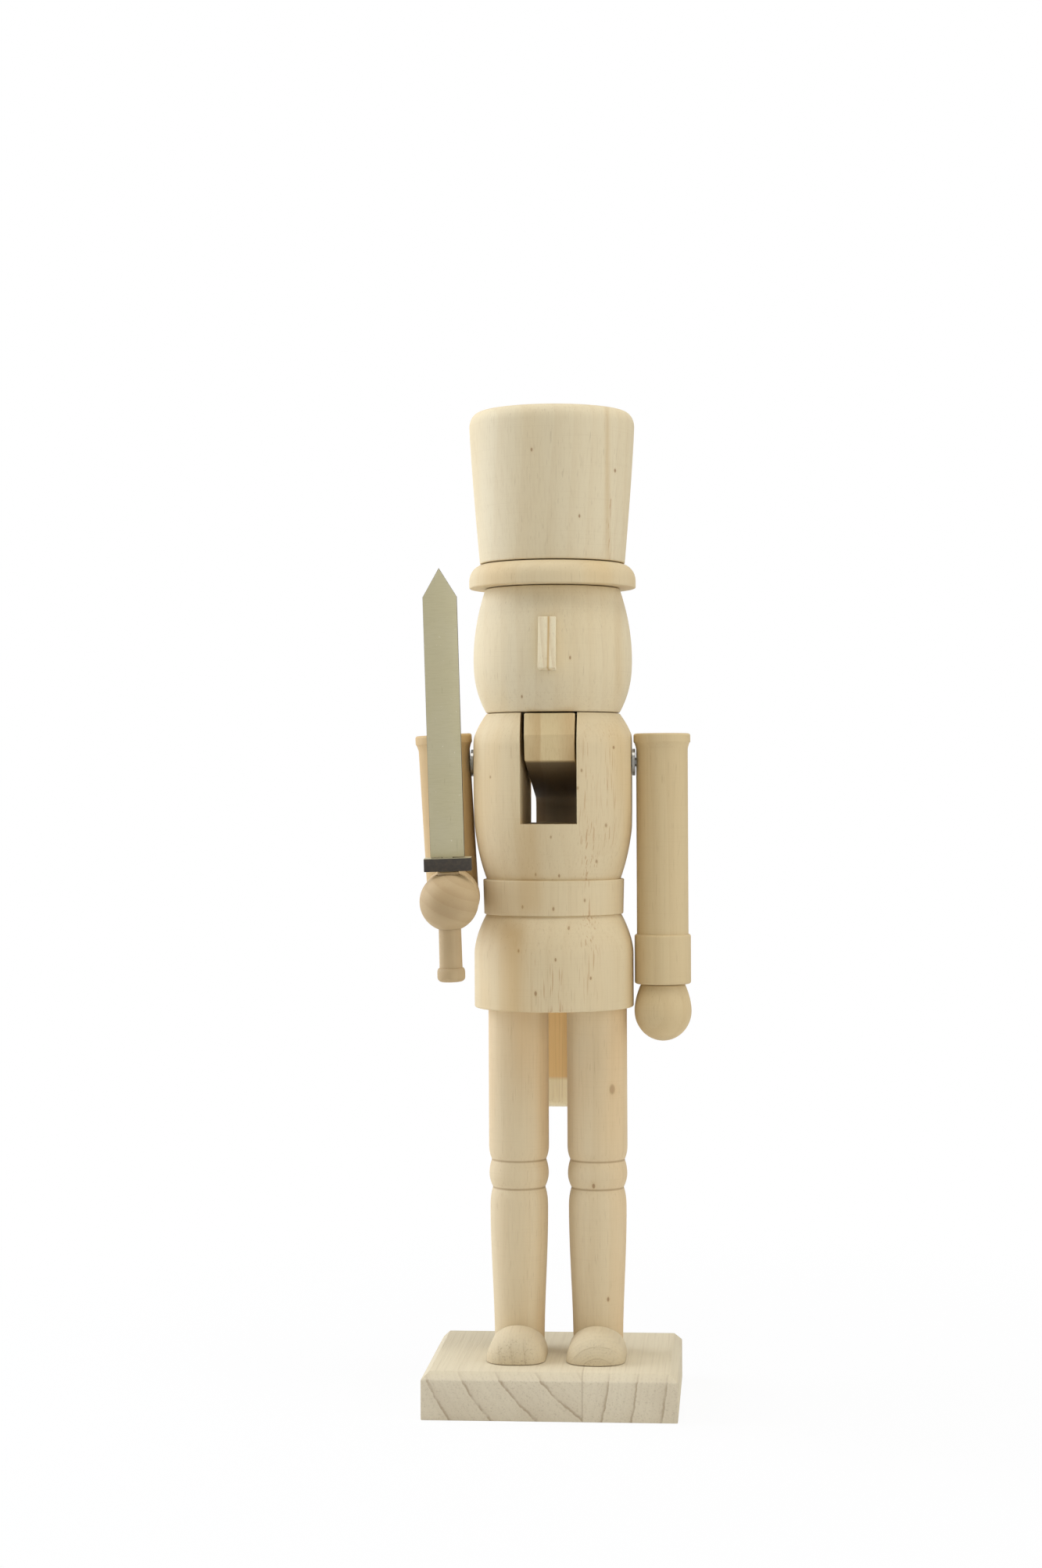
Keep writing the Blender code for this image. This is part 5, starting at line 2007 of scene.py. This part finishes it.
@dataclass
class Studio:
    """Camera, floor with its backdrop, lamps and surrounding light."""

    azimuth: float = math.radians(4.5)
    tilt: float = math.radians(-0.1)
    roll: float = math.radians(-0.25)
    focal_pixels: float = 3497.0
    sensor: float = 36.0
    clip: float = 0.01
    distance: float = 1.058
    aside: float = -0.0125
    eye_height: float = 0.2355
    floor_half: float = 3.0
    floor_back: float = 2.2
    wall_round: float = 0.8
    wall_height: float = 3.0
    around: float = 0.265
    around_tint: Colour = (1.0, 0.965, 0.90)
    lit_height: float = 0.2
    lamps: Tuple[Lamp, ...] = (
        Lamp("left_softbox", (-1.2, 0.18, 0.7), (1.2, 1.4), 16.4, (0.94, 1.0, 1.12)),
        Lamp("right_softbox", (1.2, -0.40, 0.7), (0.8, 1.2), 5.0, (0.96, 1.0, 1.08)),
        Lamp("top_softbox", (0.1, -0.25, 1.5), (0.9, 0.9), 9.5),
        Lamp("front_fill", (0.95, -1.3, 0.45), (1.0, 0.8), 2.8, (1.0, 0.965, 0.88)),
    )

    def build(self) -> None:
        """Set up the camera, the floor, the lamps and the world."""
        self._camera()
        self._floor()
        for lamp in self.lamps:
            lamp.hang(Vector((0, 0, self.lit_height)))
        self._world()

    def _camera(self) -> None:
        """Stand the camera where the photograph was taken from."""
        data = bpy.data.cameras.new("camera")
        data.sensor_fit = "VERTICAL"
        data.sensor_height = self.sensor
        data.lens = self.focal_pixels / IMAGE_HEIGHT * data.sensor_height
        data.clip_start = self.clip
        item = placed("camera", data)
        right = Vector((math.cos(self.azimuth), math.sin(self.azimuth), 0))
        back = Vector((math.sin(self.azimuth), -math.cos(self.azimuth), 0))
        up = Vector((0, 0, 1))
        behind = back * math.cos(self.tilt) + up * math.sin(self.tilt)
        turned = right * math.cos(self.roll) + behind.cross(right) * math.sin(self.roll)
        axes = Matrix((turned, behind.cross(turned), behind)).transposed()
        eye = back * self.distance + right * self.aside + up * self.eye_height
        item.matrix_world = Matrix.Translation(eye) @ axes.to_4x4()
        bpy.context.scene.camera = item
        LOG.info("camera at %s", tuple(round(value, 3) for value in eye))

    def _floor(self) -> None:
        """Lay a floor that curves up into a backdrop."""
        side = [(-self.floor_half, 0.0), (self.floor_back - self.wall_round, 0.0)]
        for share in shares(CURVE_STEPS)[1:-1]:
            reach = self.floor_back - self.wall_round * (1 - math.sin(QUARTER * share))
            side.append((reach, self.wall_round * (1 - math.cos(QUARTER * share))))
        side += [(self.floor_back, self.wall_round), (self.floor_back, self.wall_height)]
        work = bmesh.new()
        ends = (-self.floor_half, self.floor_half)
        rows = [[work.verts.new((across, back, up)) for across in ends] for back, up in side]
        for first, second in zip(rows, rows[1:]):
            work.faces.new((*first, *reversed(second)))
        mesh = bpy.data.meshes.new("floor")
        work.to_mesh(mesh)
        work.free()
        mesh.shade_smooth()
        mesh.materials.append(Backdrop("white_floor").material())
        item = placed("floor", mesh)
        LOG.info("floor and backdrop")

    def _world(self) -> None:
        """Surround the scene with soft light, white where the camera sees it."""
        world = bpy.data.worlds.new("surroundings")
        world.use_nodes = True
        bpy.context.scene.world = world
        graph = ShaderGraph(world.node_tree)
        lights = (rgba(self.around_tint), self.around), (WHITE, 1.0)
        soft, seen = (
            graph.node("ShaderNodeBackground", sockets={"Color": colour, "Strength": strength})
            for colour, strength in lights
        )
        sockets = {"Fac": seen_share(graph), "Shader": soft, "Shader_001": seen}
        mixed = graph.node("ShaderNodeMixShader", sockets=sockets)
        graph.node("ShaderNodeOutputWorld", sockets={"Surface": mixed})


def tones(pale: Colour, honey: Colour, ring: Optional[Colour] = None) -> Mapping[str, Colour]:
    """Colours of a wood, by the names of its fields; rings stay plain where none are given."""
    named = {"pale": pale, "honey": honey, "ring": ring}
    return {name: tone for name, tone in named.items() if tone}


TAN = tones(shade(214, 193, 150), shade(208, 181, 132), shade(184, 150, 102))
# Darker, more orange copies of the arm wood: painted shade on the sword arm's upper arm, forearm,
# hand and grip.
UPPER_TAN = tones(shade(206, 178, 130), shade(198, 158, 104), shade(176, 136, 84))
SHADED_TAN = tones(shade(192, 168, 128), shade(184, 148, 100), shade(160, 126, 84))
BODY = {**tones(shade(220, 202, 164), shade(214, 182, 126)), "honey_depth": 0.5}
LEG = {
    **tones(shade(221, 202, 165), shade(221, 184, 131)),
    "honey_depth": 0.5,
    # Heights of the knee grooves, which get rings of painted shade.
    "grooves": (Leg.lower_groove[1], Leg.upper_groove[1]),
}
ONE_BOARD = {"joint": 0.5, "face": shade(218, 202, 168), "end": shade(216, 201, 168)}

TORSO_KNOTS = (
    Knot(0.0243, 0.2510),
    Knot(0.0126, 0.2423, depth=0.5),
    Knot(0.0111, 0.2357, depth=0.5),
    Knot(-0.0225, 0.2400, 0.00035, 0.45),
    Knot(0.0214, 0.2215, depth=0.45),
    Knot(0.0010, 0.2173, 0.00035, 0.45),
    Knot(0.0177, 0.2079, depth=0.5),
    Knot(-0.0051, 0.2031, 0.00035, 0.5),
    Knot(0.0038, 0.2026, 0.0004),
    Knot(0.0133, 0.1932, 0.0004, 0.5),
    Knot(-0.0102, 0.1908, 0.0004, 0.5),
    Knot(0.0016, 0.1901, 0.0004, 0.55),
    Knot(0.0074, 0.1829, 0.0004, 0.5),
    Knot(-0.0115, 0.1744),
    Knot(0.0026, 0.1712, 0.0004),
    Knot(0.0156, 0.1640),
    Knot(-0.0050, 0.1585, 0.0005),
)
TORSO_STREAKS = (
    Streak(0.0150, 0.148, 0.264, 0.0055, 0.48),
    Streak(0.0225, 0.205, 0.266, 0.0045, 0.46),
    Streak(0.0020, 0.144, 0.178, 0.0130, 0.45),
    # These two soft streaks are partly a darker stripe in the wood and partly painted shadow of the
    # sword arm and hand.
    Streak(-0.0140, 0.140, 0.190, 0.0095, 0.42, False),
    Streak(-0.0075, 0.184, 0.228, 0.0085, 0.30, False),
)
HEAD_MARKS = {
    "knots": (Knot(0.0085, 0.2847, 0.0004), Knot(-0.0100, 0.2703, 0.0004)),
    "streaks": (Streak(0.0262, 0.268, 0.312, 0.0022, 0.16, False),),
}
CROWN_MARKS = {
    "knots": (Knot(-0.0056, 0.3630), Knot(0.0252, 0.3562), Knot(0.0121, 0.3382)),
    "streaks": (
        Streak(0.0224, 0.312, 0.390, 0.0016, 0.26, False),
        Streak(0.0232, 0.320, 0.352, 0.002, 0.5),
    ),
}
NOSE_STREAK = Streak(0.0006, 0.262, 0.318, 0.0008, 0.75, False)
LEG_KNOTS = (
    Knot(0.0063, 0.1204, 0.0011, 0.42),
    Knot(-0.001, 0.0834, 0.0006),
    Knot(0.0043, 0.0399, 0.0005),
)


def wooden_legs() -> Tuple[Leg, Leg]:
    """Both legs with their woods.

    Returns:
        The left leg and the right one.
    """
    left_board, right_board = Board((0.001, 0.014), 0.0042), Board((0.06, 0.030), 0.0048)
    left_toe = EndGrain("left_toe_grain", 2.3, left=left_board, line_depth=0.24, **ONE_BOARD)
    right_toe = EndGrain(
        "right_toe_grain", 4.1, left=right_board, line_depth=0.22, speckle=0.3, **ONE_BOARD
    )
    left_wood = TurnedWood("left_leg_wood", 7.0, (0.03, 0.02), knots=LEG_KNOTS, **LEG)
    right_wood = TurnedWood("right_leg_wood", 11.0, (-0.02, -0.03), **LEG)
    return Leg(Side.LEFT, left_wood, left_toe), Leg(Side.RIGHT, right_wood, right_toe)


def wooden_head() -> Head:
    """The head, its nose and its hat with their woods.

    Returns:
        The sub-assembly.
    """
    # The nose's pale tone is lighter than the head's: a painted highlight on its upward-tilted
    # front.
    nose = {"pale": shade(234, 222, 190), "spacing": 0.0031, "ring_depth": 0.3}
    return Head(
        TurnedWood("head_wood", 17.0, (0.062, -0.012), **HEAD_MARKS),
        TurnedWood(
            "nose_wood", 19.0, (0.014, -0.03), knot_share=0.0, streaks=(NOSE_STREAK,), **nose
        ),
        TurnedWood("brim_wood", 23.0, (-0.045, 0.03), **BODY),
        TurnedWood("crown_wood", 29.0, (0.058, 0.02), **CROWN_MARKS),
    )


def wooden_arms() -> Tuple[StraightArm, SwordArm]:
    """Both arms with their woods, and the sword with its faces.

    Returns:
        The straight arm and the sword arm.
    """
    hand = {"spacing": 0.0045, "ring_depth": 0.16, "end_depth": 0.18}
    straight = StraightArm(
        TurnedWood("straight_arm_wood", 31.0, (0.02, -0.018), **TAN),
        TurnedWood("straight_hand_wood", 37.0, (0.014, 0.012), **TAN),
    )
    sword = SwordArm(
        TurnedWood("sword_upper_wood", 41.0, (0.02, 0.014), **UPPER_TAN),
        TurnedWood("sword_fore_wood", 43.0, (0.018, 0.02), **SHADED_TAN),
        TurnedWood("sword_hand_wood", 47.0, (0.02, -0.03), **hand, **SHADED_TAN),
        TurnedWood("sword_grip_wood", 53.0, (0.011, 0.009), **SHADED_TAN),
        SilverFace("blade_face", 1.0),
        SilverFace("guard_face", 5.0, faced=2),
    )
    return straight, sword


def figure() -> Tuple[Assembly, ...]:
    """The figure in building order, each sub-assembly with its woods.

    Returns:
        The sub-assemblies.
    """
    marks = {"knots": TORSO_KNOTS, "streaks": TORSO_STREAKS}
    base = Base(EndGrain("base_end_grain", 0.62))
    torso = Torso(TurnedWood("body_wood", 3.0, (0.044, -0.052), **marks, **BODY))
    jaw = Jaw(SawnBoard("jaw_wood", 2.0))
    return (base, *wooden_legs(), torso, jaw, wooden_head(), *wooden_arms())


def main() -> None:
    """Build the figure in order, dress its hardware and set up the studio."""
    logging.basicConfig(level=logging.INFO, format="%(name)s: %(message)s")
    for part in figure():
        part.build()
        LOG.info("built %s", type(part).__name__)
    Hardware().dress()
    Studio().build()
    bpy.context.scene.view_settings.view_transform = "Standard"


if __name__ == "__main__":
    main()
